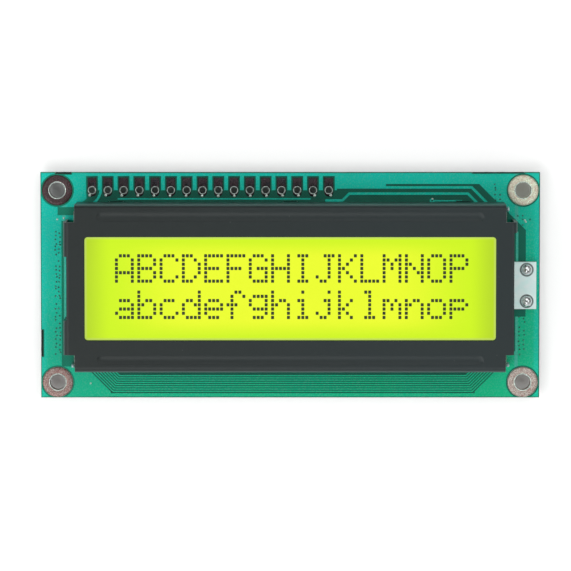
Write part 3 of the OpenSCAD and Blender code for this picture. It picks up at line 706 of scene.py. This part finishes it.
# %% Solder, diodes, epoxy and chips
def bright_solder():
    look, tree, shader, coordinates = new_finish("bright_solder", Metallic=1.0)
    cloud = use_effect(tree, grain, Place=coordinates["Object"], Scale=2600.0, Depth=3.0)["Grain"]
    tree.links.new(over(tree, cloud, paint(188, 192, 192), paint(226, 230, 230)), shader.inputs["Base Color"])
    tree.links.new(ease(tree, cloud, 0.0, 1.0, 0.12, 0.28), shader.inputs["Roughness"])
    dent(tree, shader, cloud, 0.35, 0.00005)
    return look


def diode_chip():
    look, tree, shader, coordinates = new_finish("diode_chip", Roughness=0.3)
    grid = use_effect(tree, specks, Place=coordinates["Object"], Scale=4000.0, Spread=0.5)["Specks"]
    tree.links.new(over(tree, grid, paint(206, 214, 90), paint(150, 150, 60)), shader.inputs["Base Color"])
    return look


def blob_epoxy():
    look, tree, shader, coordinates = new_finish("blob_epoxy", Coat_Weight=0.3, Coat_Roughness=0.05)
    place = coordinates["Object"]
    flow = use_effect(tree, grain, Place=place, Scale=180.0, Depth=2.0)["Grain"]
    dust = use_effect(tree, specks, Place=place, Scale=900.0, Spread=0.1)["Specks"]
    colour = over(tree, flow, paint(18, 18, 19), paint(30, 30, 32))
    colour = over(tree, sums(tree, "MULTIPLY", dust, 0.3), colour, paint(90, 88, 84))
    tree.links.new(colour, shader.inputs["Base Color"])
    tree.links.new(ease(tree, flow, 0.0, 1.0, 0.18, 0.34), shader.inputs["Roughness"])
    dent(tree, shader, flow, 0.3, 0.0002)
    return look


wear(bright_solder(), "backlight_pin_anode", "backlight_pin_cathode", "ear_joint_anode", "ear_joint_cathode",
     "back_joint_anode", "back_joint_cathode", "chip_solder")
wear(diode_chip(), "led_dies")
wear(blob_epoxy(), "controller_blob", "driver_blob")


# %% Chips with tinned ends
def chip_finish(name, body, body_low, part):
    """A chip's body colour in the middle, and tin over the last third of a millimetre at both ends."""
    look, tree, shader, coordinates = new_finish(name)
    place = coordinates["Object"]
    low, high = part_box(part)
    middle = (low + high) / 2
    mapping = put(tree, "Mapping", {"vector_type": "POINT"}, Vector=place)
    mapping.inputs["Location"].default_value = -middle
    ends = use_effect(tree, rim, Place=mapping.outputs[0], Half_Width=(high.x - low.x) / 2, Half_Height=0.01)
    tinned = ease(tree, ends["From End"], 0.00034, 0.00036, 1.0, 0.0)
    cloud = use_effect(tree, grain, Place=place, Scale=4000.0, Depth=3.0)["Grain"]
    colour = over(tree, cloud, body_low, body)
    tree.links.new(over(tree, tinned, colour, paint(196, 196, 192)), shader.inputs["Base Color"])
    tree.links.new(sums(tree, "MULTIPLY", tinned, 0.9), shader.inputs["Metallic"])
    tree.links.new(ease(tree, cloud, 0.0, 1.0, 0.3, 0.45), shader.inputs["Roughness"])
    return look


for i in range(1, 9):
    wear(chip_finish(f"resistor_glaze_{i}", paint(30, 30, 34), paint(20, 20, 23), f"resistor_{i}"),
         f"resistor_{i}")
for i in range(1, 4):
    wear(chip_finish(f"capacitor_clay_{i}", paint(176, 146, 112), paint(158, 128, 96), f"capacitor_{i}"),
         f"capacitor_{i}")

# %% [markdown]
# ## Pieces of our own
#
# Each new piece is shaped with the same tools that a hand would use in edit mode. These helpers open a clean
# edit session, pick faces or edges by where they are, and close up again with the place kept in the mesh.


# %% Helpers for modelling
def begin():
    """Leave edit mode and let go of everything, so that the next operator acts on one new mesh only."""
    if bpy.context.object and bpy.context.object.mode != "OBJECT":
        bpy.ops.object.mode_set(mode="OBJECT")
    bpy.ops.object.select_all(action="DESELECT")


def pick(kind, test):
    """In edit mode, select the vertices, edges or faces whose middle passes the test."""
    bpy.ops.mesh.select_mode(type=kind)
    bpy.ops.mesh.select_all(action="DESELECT")
    shape = bmesh.from_edit_mesh(bpy.context.object.data)
    chosen = {"VERT": shape.verts, "EDGE": shape.edges, "FACE": shape.faces}[kind]
    for item in chosen:
        corners = [item] if kind == "VERT" else item.verts
        middle = sum((corner.co for corner in corners), Vector()) / len(corners)
        if test(middle, item):
            item.select_set(True)
    shape.select_flush_mode()
    bmesh.update_edit_mesh(bpy.context.object.data)


def settle(piece, name):
    """Close edit mode, put the piece's place into its mesh, and name it."""
    if piece.mode != "OBJECT":
        bpy.ops.object.mode_set(mode="OBJECT")
    bpy.ops.object.select_all(action="DESELECT")
    piece.select_set(True)
    bpy.context.view_layer.objects.active = piece
    bpy.ops.object.transform_apply(location=True, rotation=True, scale=True)
    piece.name = name
    return piece


def copy_to(pattern, places, name):
    """Copies of one modelled shape at many places, each with its own mesh, joined as one piece."""
    bpy.ops.object.select_all(action="DESELECT")
    copies = []
    for place in places:
        copy = pattern.copy()
        copy.data = pattern.data.copy()
        copy.location = place
        bpy.context.scene.collection.objects.link(copy)
        copy.select_set(True)
        copies.append(copy)
    bpy.context.view_layer.objects.active = copies[0]
    bpy.ops.object.join()
    return settle(bpy.context.object, name)


def finish_piece(piece, look):
    """Give the piece its finish, and tell the frame what it rides on."""
    piece.data.materials.clear()
    piece.data.materials.append(look)
    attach(piece, "root")
    print(piece.name, len(piece.data.polygons), "faces")
    return piece


# %% [markdown]
# ## The lit dots
#
# Each character is a block of five by seven dots, and a driven dot turns dark. One dot is a thin tile with
# rounded corners. It is modelled once and copied to every driven place. The display shows the plain alphabet
# as a test pattern, in capitals and small letters, so the letters are written out here as rows of dots.

# %% Letters as rows of dots
CAPITALS = """
.###. ####. .###. ###.. ##### ##### .###. #...# .###. ..### #...# #.... #...# #...# .###. ####.
#...# #...# #...# #..#. #.... #.... #...# #...# ..#.. ...#. #..#. #.... ##.## #...# #...# #...#
#...# #...# #.... #...# #.... #.... #.... #...# ..#.. ...#. #.#.. #.... #.#.# ##..# #...# #...#
#...# ####. #.... #...# ####. ####. #.### ##### ..#.. ...#. ##... #.... #.#.# #.#.# #...# ####.
##### #...# #.... #...# #.... #.... #...# #...# ..#.. ...#. #.#.. #.... #...# #..## #...# #....
#...# #...# #...# #..#. #.... #.... #...# #...# ..#.. #..#. #..#. #.... #...# #...# #...# #....
#...# ####. .###. ###.. ##### #.... .#### #...# .###. .##.. #...# ##### #...# #...# .###. #....
"""
SMALL = """
..... #.... ..... ....# ..... ..##. ..... #.... ..#.. ...#. #.... .##.. ..... ..... ..... .....
..... #.... ..... ....# ..... .#..# .#### #.... ..... ..... #.... ..#.. ..... ..... ..... .....
.###. #.##. .###. .##.# .###. .#... #...# #.##. .##.. ..##. #..#. ..#.. ##.#. #.##. .###. ####.
....# ##..# #.... #..## #...# ###.. #...# ##..# ..#.. ...#. #.#.. ..#.. #.#.# ##..# #...# #...#
.#### #...# #.... #...# ##### .#... .#### #...# ..#.. ...#. ##... ..#.. #.#.# #...# #...# ####.
#...# #...# #...# #...# #.... .#... ....# #...# ..#.. #..#. #.#.. ..#.. #...# #...# #...# #....
.#### ####. .###. .#### .###. .#... .###. #...# .###. .##.. #..#. .###. #...# #...# .###. #....
"""
DOT_PITCH = Vector((0.632 * MM, 0.674 * MM, 0))
LETTER_PITCH = 3.55 * MM
LINE_PITCH = 5.80 * MM
print("letters in a line:", len(CAPITALS.split("\n")[1].split()))


# %% Model one dot
def model_dot():
    """A thin tile with rounded corners and a softened upper edge."""
    begin()
    width, height, rise = 0.48 * MM, 0.52 * MM, 0.03 * MM
    bpy.ops.mesh.primitive_cube_add(size=1, location=(0, 0, 0), scale=(width, height, rise))
    dot = bpy.context.object
    settle(dot, "dot_pattern")
    bpy.ops.object.mode_set(mode="EDIT")
    pick("EDGE", lambda middle, edge: abs(middle.z) < rise / 4)
    bpy.ops.mesh.bevel(offset=0.08 * MM, segments=2, affect="EDGES")
    pick("FACE", lambda middle, face: face.normal.z > 0.9)
    bpy.ops.mesh.inset(thickness=0.02 * MM, depth=0.008 * MM)
    bpy.ops.object.mode_set(mode="OBJECT")
    return dot


def dot_places(text, first_row_y):
    """The middle of every driven dot of one line of text."""
    rows = text.split("\n")[1:-1]
    left = -(15 * LETTER_PITCH + 4 * DOT_PITCH.x) / 2 + 0.22 * MM
    places = []
    for row, line in enumerate(rows):
        for letter, dots in enumerate(line.split()):
            for column, mark in enumerate(dots):
                if mark == "#":
                    x = left + letter * LETTER_PITCH + column * DOT_PITCH.x
                    places.append((x, first_row_y - row * DOT_PITCH.y, film_z + 0.008 * MM))
    return places


def dark_dot():
    look, tree, shader, coordinates = new_finish("dark_dot", Roughness=0.4)
    cloud = use_effect(tree, grain, Place=coordinates["Object"], Scale=2500.0, Depth=2.0)["Grain"]
    tree.links.new(over(tree, cloud, paint(30, 42, 4), paint(46, 56, 6)), shader.inputs["Base Color"])
    return look


# %% Set the two lines of dots
dot = model_dot()
dot_look = dark_dot()
upper_row_y = 5.25 * MM
for line_name, text, row_y in (("dots_capitals", CAPITALS, upper_row_y),
                               ("dots_small", SMALL, upper_row_y - LINE_PITCH)):
    finish_piece(copy_to(dot, dot_places(text, row_y), line_name), dot_look)
bpy.data.objects.remove(dot)

# %% [markdown]
# ## Solder on the lands
#
# Tin does not lie flat. It draws up into a low swelling that is highest between the rim and the hole, and that
# roundness gives each land a bright outer and inner line. The swelling is a ring: a circle is pulled inwards
# in steps, each step raised to the height of the swelling, and the ring is closed below.


# %% Swell the tin on a land
def tin_swelling(name, outer, inner, height, rings, segments):
    """A closed ring of tin round the origin, lying on the level Z = 0."""
    begin()
    bpy.ops.mesh.primitive_circle_add(vertices=segments, radius=outer, fill_type="NOTHING", location=(0, 0, 0))
    piece = bpy.context.object
    bpy.ops.object.mode_set(mode="EDIT")
    bpy.ops.mesh.select_mode(type="EDGE")
    bpy.ops.mesh.select_all(action="SELECT")
    radius = outer
    level = 0.0
    for step in range(1, rings + 1):
        share = step / rings
        next_radius = outer + (inner - outer) * share
        next_level = height * math.sin(math.pi * share) ** 0.6 if share < 1 else 0.0
        bpy.ops.mesh.extrude_region_move(
            TRANSFORM_OT_translate={"value": (0, 0, next_level - level)})
        bpy.ops.transform.resize(value=(next_radius / radius, next_radius / radius, 1))
        radius, level = next_radius, next_level
    pick("EDGE", lambda middle, edge: len(edge.link_faces) == 1)
    bpy.ops.mesh.bridge_edge_loops()
    bpy.ops.mesh.select_all(action="SELECT")
    bpy.ops.mesh.normals_make_consistent(inside=False)
    bpy.ops.object.mode_set(mode="OBJECT")
    bpy.ops.object.shade_smooth()
    return settle(piece, name)


def roughen(piece, amount, seed):
    """Move every vertex above the ground level a little, as the tin froze unevenly."""
    begin()
    piece.select_set(True)
    bpy.context.view_layer.objects.active = piece
    bpy.ops.object.mode_set(mode="EDIT")
    pick("VERT", lambda middle, vertex: middle.z > amount)
    bpy.ops.transform.vertex_random(offset=amount, uniform=0.0, normal=1.0, seed=seed)
    bpy.ops.object.mode_set(mode="OBJECT")
    return piece


# %% Tin the four lands on both faces
land_r = (land_boxes[0][1].x - land_boxes[0][0].x) / 2
hole_r = 1.25 * MM
for number, middle in enumerate(land_middles, start=1):
    ring = tin_swelling("land_pattern", land_r - 0.03 * MM, hole_r + 0.02 * MM, 0.1 * MM, 10, 64)
    roughen(ring, 0.008 * MM, number)
    front = copy_to(ring, [(middle.x, middle.y, deck_z)], f"land_tin_front_{number}")
    finish_piece(front, tin_of_land(middle))
    begin()
    ring.select_set(True)
    bpy.context.view_layer.objects.active = ring
    bpy.ops.transform.mirror(orient_type="GLOBAL", constraint_axis=(False, False, True))
    settle(ring, "land_pattern")
    bpy.ops.object.mode_set(mode="EDIT")
    bpy.ops.mesh.select_all(action="SELECT")
    bpy.ops.mesh.normals_make_consistent(inside=False)
    bpy.ops.object.mode_set(mode="OBJECT")
    back = copy_to(ring, [(middle.x, middle.y, back_z)], f"land_tin_back_{number}")
    finish_piece(back, tin_of_land(middle))
    bpy.data.objects.remove(ring)

# %% [markdown]
# ## Bright rims
#
# Where the tin turns down into a hole it rounds over into a lip. A narrow ring round each hole of a land, made
# with the same helper, gives that lip, and a smaller one will stand on each header pad. Both are given a pale
# finish that stays bright under any light, a painted highlight on the rim.


# %% Set the rims
def painted_glint_tin():
    look, tree, shader, coordinates = new_finish("painted_glint_tin", IOR=1.5)
    ripple = use_effect(tree, grain, Place=coordinates["Object"], Scale=2600.0, Depth=3.0)["Grain"]
    # A pale mint base that stays bright under any light: a painted highlight.
    tree.links.new(over(tree, ripple, paint(206, 222, 212), paint(240, 255, 248)), shader.inputs["Base Color"])
    tree.links.new(ease(tree, ripple, 0.0, 1.0, 0.18, 0.34), shader.inputs["Roughness"])
    tree.links.new(ease(tree, ripple, 0.3, 0.7, 0.35, 0.6), shader.inputs["Metallic"])
    dent(tree, shader, ripple, 0.3, 0.00002)
    return look


painted_glint_finish = painted_glint_tin()
rim_ring = tin_swelling("rim_pattern", hole_r + 0.2 * MM, hole_r + 0.0 * MM, 0.17 * MM, 8, 48)
finish_piece(copy_to(rim_ring, [(middle.x, middle.y, deck_z) for middle in land_middles], "land_rims"),
             painted_glint_finish)
bpy.data.objects.remove(rim_ring)

# %% [markdown]
# ## Tin on the header pads
#
# Each of the sixteen pads is an oblong with a square end, a round end and a hole. Molten tin stands on it as a
# low cushion. The cushion's rounded outer edge and the rounded edge of the hole are what catch the light: a
# glint at the round end, and an arc on the far side of the hole. One cushion is modelled and copied.

# %% Model one cushion of tin
HEADER_PINS = 16
HEADER_PITCH = 2.54 * MM
pad_reach_up = pads_high.y - 15.3 * MM
pad_half_w = ((pads_high.x - pads_low.x) - (HEADER_PINS - 1) * HEADER_PITCH) / 2
first_pad_x = pads_low.x + pad_half_w
pad_tail = 15.3 * MM - pads_low.y - pad_half_w
print("pad half width", round(pad_half_w / MM, 3), "mm, tail", round(pad_tail / MM, 3), "mm")


def tin_cushion(thickness, soft):
    """An oblong cushion round a hole at the origin, its lower face on the level Z = 0."""
    begin()
    around = 24
    half_w = pad_half_w - 0.02 * MM
    bpy.ops.mesh.primitive_circle_add(vertices=around, radius=half_w, fill_type="NOTHING",
                                      location=(0, -pad_tail, 0))
    piece = bpy.context.object
    settle(piece, "cushion_pattern")
    bpy.ops.object.mode_set(mode="EDIT")
    pick("VERT", lambda middle, vertex: middle.y > -pad_tail + 0.001 * MM)
    bpy.ops.transform.resize(value=(1, 0, 1), center_override=(0, pad_reach_up - 0.02 * MM, 0))
    bpy.ops.mesh.select_all(action="DESELECT")
    bpy.ops.mesh.primitive_circle_add(vertices=around, radius=0.52 * MM, fill_type="NOTHING",
                                      location=(0, 0, 0))
    bpy.ops.mesh.select_all(action="SELECT")
    bpy.ops.mesh.bridge_edge_loops()
    bpy.ops.mesh.select_all(action="SELECT")
    bpy.ops.mesh.flip_normals()
    bpy.ops.mesh.select_mode(type="FACE")
    bpy.ops.mesh.select_all(action="SELECT")
    bpy.ops.mesh.extrude_region_move(TRANSFORM_OT_translate={"value": (0, 0, thickness - soft)})
    bpy.ops.mesh.inset(thickness=soft * 0.35, depth=soft * 0.65, use_boundary=True)
    bpy.ops.mesh.inset(thickness=soft * 0.65, depth=soft * 0.35, use_boundary=True)
    bpy.ops.mesh.select_all(action="SELECT")
    bpy.ops.mesh.normals_make_consistent(inside=False)
    bpy.ops.object.mode_set(mode="OBJECT")
    bpy.ops.object.shade_smooth_by_angle(angle=math.radians(60))
    return piece


# %% Set the cushions on both faces
pad_sites = [(first_pad_x + i * HEADER_PITCH, 15.3 * MM) for i in range(HEADER_PINS)]
cushion = tin_cushion(0.10 * MM, 0.08 * MM)
finish_piece(copy_to(cushion, [(x, y, deck_z) for x, y in pad_sites], "header_tin_front"), pad_tin_painted_dark_reflection)
begin()
cushion.select_set(True)
bpy.context.view_layer.objects.active = cushion
bpy.ops.transform.mirror(orient_type="GLOBAL", constraint_axis=(False, False, True))
settle(cushion, "cushion_pattern")
bpy.ops.object.mode_set(mode="EDIT")
bpy.ops.mesh.select_all(action="SELECT")
bpy.ops.mesh.normals_make_consistent(inside=False)
bpy.ops.object.mode_set(mode="OBJECT")
finish_piece(copy_to(cushion, [(x, y, back_z) for x, y in pad_sites], "header_tin_back"), pad_tin_painted_dark_reflection)
bpy.data.objects.remove(cushion)
# A pale lip round each pad's hole takes the same finish: the arc round the hole is a painted highlight.
lip = tin_swelling("lip_pattern", 0.68 * MM, 0.5 * MM, 0.2 * MM, 6, 24)
finish_piece(copy_to(lip, [(x, y, deck_z) for x, y in pad_sites], "header_lips"), painted_glint_finish)
bpy.data.objects.remove(lip)

# %% [markdown]
# ## Bright drops as painted glints
#
# A bright drop sits at the lower end of every header pad, and a few lie on the vias of the board. They are
# painted glints: small domes in the pale finish, set where the light catches. A drop is a disc pulled up in
# steps, each step narrower, until it closes.


# %% Model one drop
def model_drop(radius, height, corners):
    """A low dome with its flat side on the level Z = 0."""
    begin()
    bpy.ops.mesh.primitive_circle_add(vertices=corners, radius=radius, fill_type="NGON", location=(0, 0, 0))
    piece = bpy.context.object
    bpy.ops.object.mode_set(mode="EDIT")
    bpy.ops.mesh.select_mode(type="FACE")
    bpy.ops.mesh.select_all(action="SELECT")
    width, level = 1.0, 0.0
    for lean in (25, 50, 72):
        next_width, next_level = math.cos(math.radians(lean)), math.sin(math.radians(lean))
        bpy.ops.mesh.extrude_region_move(
            TRANSFORM_OT_translate={"value": (0, 0, (next_level - level) * height)})
        bpy.ops.transform.resize(value=(next_width / width, next_width / width, 1))
        width, level = next_width, next_level
    bpy.ops.mesh.select_all(action="SELECT")
    bpy.ops.mesh.normals_make_consistent(inside=False)
    bpy.ops.object.mode_set(mode="OBJECT")
    bpy.ops.object.shade_smooth_by_angle(angle=math.radians(70))
    return settle(piece, "drop_pattern")


# %% Set the glint drops on the pads and on the vias
drop = model_drop(0.25 * MM, 0.2 * MM, 12)
glint_drop_sites = []
for number, (x, y) in enumerate(pad_sites):
    # The glint drop moves from the lower left of a pad towards its lower right along the row.
    lean = -0.36 + 0.045 * number
    glint_drop_sites.append((x + lean * MM, y - (0.9 - 0.25 * abs(lean)) * MM, deck_z))
finish_piece(copy_to(drop, glint_drop_sites, "header_glint_drops"), painted_glint_finish)
glint_bump = model_drop(0.16 * MM, 0.14 * MM, 10)
GLINT_SPOTS = [(-37.5, 10.6), (-36.45, 10.8), (37.8, 10.45), (37.95, 10.2), (22.9, 13.9), (-32.2, -15.9)]
finish_piece(copy_to(glint_bump, [(x * MM, y * MM, deck_z) for x, y in GLINT_SPOTS], "painted_glints_on_vias"), painted_glint_finish)
bpy.data.objects.remove(drop)
bpy.data.objects.remove(glint_bump)

# %% [markdown]
# ## Tented vias
#
# The copper areas of the two faces are stitched together by rows of small holes, which the lacquer covers. Each
# shows as a tiny dark bead. They were drilled where there was room, so the rows wander, and the places come
# from a seeded random draw.


# %% Bead the vias
def sunk_lacquer():
    look, tree, shader, coordinates = new_finish("sunk_lacquer", IOR=1.5, Coat_Weight=0.6, Coat_Roughness=0.05)
    shade = use_effect(tree, grain, Place=coordinates["Object"], Scale=1400.0, Depth=2.0)["Grain"]
    tree.links.new(over(tree, shade, paint(2, 66, 56), paint(4, 112, 94)), shader.inputs["Base Color"])
    tree.links.new(ease(tree, shade, 0.0, 1.0, 0.15, 0.3), shader.inputs["Roughness"])
    dent(tree, shader, shade, 0.2, 0.00002)
    return look


draw = random.Random(11)
via_sites = []
VIA_ROWS = [(-37.75, 8.6, -11.2, 33), (-37.2, 8.4, -11.0, 30), (36.9, -5.2, -11.2, 9), (37.7, -5.4, -11.0, 9),
            (36.6, 12.0, 9.4, 4), (37.4, 11.9, 9.8, 4), (33.0, 16.4, 13.6, 4), (33.8, 16.0, 13.8, 4)]
for x, top, bottom, count in VIA_ROWS:
    for step in range(count):
        y = top + (bottom - top) * step / (count - 1)
        wander = (draw.uniform(-0.14, 0.14), draw.uniform(-0.16, 0.16))
        if draw.random() > 0.15:
            via_sites.append(((x + wander[0]) * MM, (y + wander[1]) * MM, deck_z))
bead = model_drop(0.15 * MM, 0.09 * MM, 8)
finish_piece(copy_to(bead, via_sites, "tented_vias"), sunk_lacquer())
bpy.data.objects.remove(bead)
print(len(via_sites), "vias")

# %% [markdown]
# ## Raw edges of the bezel
#
# Where the press cut the corners open, the raw edge of the sheet glints. A sliver of steel stands at the end of
# the long wall in three corners for that glint, and its pale colour is a painted highlight. A sliver is a thin
# bar with its top narrowed and its edges rounded.


# %% Stand the slivers at the corners
def steel_sliver(name, low, high):
    """A thin bar between two corners, narrower at the top, with rounded edges."""
    begin()
    low, high = Vector(low), Vector(high)
    bpy.ops.mesh.primitive_cube_add(size=1, location=(low + high) / 2, scale=high - low)
    piece = settle(bpy.context.object, name)
    bpy.ops.object.mode_set(mode="EDIT")
    pick("FACE", lambda middle, face: middle.z > high.z - 0.01 * MM)
    bpy.ops.transform.resize(value=(0.7, 0.6, 1))
    bpy.ops.mesh.select_all(action="SELECT")
    bpy.ops.mesh.bevel(offset=0.08 * MM, segments=3, affect="EDGES")
    bpy.ops.object.mode_set(mode="OBJECT")
    bpy.ops.object.shade_smooth_by_angle(angle=math.radians(50))
    return piece


def steel_painted_glint():
    look, tree, shader, coordinates = new_finish("steel_painted_glint", IOR=1.5)
    scratch = put(tree, "Mapping", {"vector_type": "POINT"}, Vector=coordinates["Object"])
    scratch.inputs["Scale"].default_value = (1.0, 1.0, 0.2)
    lines = use_effect(tree, grain, Place=scratch.outputs[0], Scale=4200.0, Depth=3.0)["Grain"]
    # Pale bluish steel: raw cut steel, with its brightness a painted highlight.
    tree.links.new(over(tree, lines, paint(136, 166, 170), paint(196, 218, 222)), shader.inputs["Base Color"])
    tree.links.new(ease(tree, lines, 0.0, 1.0, 0.3, 0.5), shader.inputs["Roughness"])
    tree.links.new(ease(tree, lines, 0.0, 1.0, 0.4, 0.6), shader.inputs["Metallic"])
    dent(tree, shader, lines, 0.3, 0.00002)
    return look


steel = steel_painted_glint()
SLIVERS = {"sliver_bottom_left": (-35.25, -13.3), "sliver_top_right": (34.75, 11.9),
           "sliver_bottom_right": (34.8, -13.2)}
for sliver_name, (x, y) in SLIVERS.items():
    sliver = steel_sliver(sliver_name, (x * MM, y * MM, deck_z), ((x + 0.5) * MM, (y + 0.75) * MM, deck_z + 2.2 * MM))
    finish_piece(sliver, steel)

# %% [markdown]
# ## Torn laminate
#
# Boards are made many to a panel and snapped apart. Where this one hung on its neighbours, three shallow
# notches are left, and in them the torn ends of glass fibre, coloured nearly black as painted shade. Each stub
# is a block that is cut finely and then roughened, so that it breaks up like torn cloth.


# %% Tear the stubs
def torn_stub(name, low, high, cuts, rough, seed):
    """A rough block between two corners. Its faces move by up to rough, and stay inside the box."""
    begin()
    inner_low = Vector(low) + Vector((rough, rough, rough))
    inner_high = Vector(high) - Vector((rough, rough, rough))
    bpy.ops.mesh.primitive_cube_add(size=1, location=(inner_low + inner_high) / 2, scale=inner_high - inner_low)
    piece = bpy.context.object
    settle(piece, name)
    bpy.ops.object.mode_set(mode="EDIT")
    long_axis = max(range(3), key=lambda axis: high[axis] - low[axis])
    for step in range(1, cuts):
        place = list(inner_low)
        place[long_axis] += (inner_high[long_axis] - inner_low[long_axis]) * step / cuts
        normal = [0, 0, 0]
        normal[long_axis] = 1
        bpy.ops.mesh.select_all(action="SELECT")
        bpy.ops.mesh.bisect(plane_co=place, plane_no=normal)
    for level in (0.35, 0.7):
        bpy.ops.mesh.select_all(action="SELECT")
        bpy.ops.mesh.bisect(plane_co=(0, 0, inner_low.z + (inner_high.z - inner_low.z) * level),
                            plane_no=(0, 0, 1))
    bpy.ops.mesh.select_all(action="SELECT")
    bpy.ops.transform.vertex_random(offset=rough * 0.9, uniform=1.0, normal=0.0, seed=seed)
    bpy.ops.object.mode_set(mode="OBJECT")
    return piece


def fibre_painted_dark():
    look, tree, shader, coordinates = new_finish("fibre_painted_dark", Roughness=0.9)
    place = coordinates["Object"]
    strands = put(tree, "Mapping", {"vector_type": "POINT"}, Vector=place)
    strands.inputs["Scale"].default_value = (1.0, 1.0, 4.0)
    threads = use_effect(tree, grain, Place=strands.outputs[0], Scale=3000.0, Depth=3.0)["Grain"]
    # Nearly black fibre: painted shade for the dark inside the notches.
    tree.links.new(over(tree, threads, paint(6, 26, 24), paint(26, 58, 50)), shader.inputs["Base Color"])
    dent(tree, shader, threads, 0.8, 0.00005)
    return look


NOTCHES = {
    "torn_stub_left": ((board_low.x, -11.5 * MM), (board_low.x + 0.4 * MM, -7.3 * MM)),
    "torn_stub_top_left": ((-37.75 * MM, board_high.y - 0.3 * MM), (-35.25 * MM, board_high.y)),
    "torn_stub_top_right": ((29.35 * MM, board_high.y - 0.15 * MM), (37.65 * MM, board_high.y)),
}
fibre = fibre_painted_dark()
for number, (stub_name, (low, high)) in enumerate(NOTCHES.items()):
    stub = torn_stub(stub_name, (*low, board_low.z + 0.02 * MM), (*high, front_z - 0.02 * MM), 14, 0.02 * MM,
                     number + 3)
    finish_piece(stub, fibre)
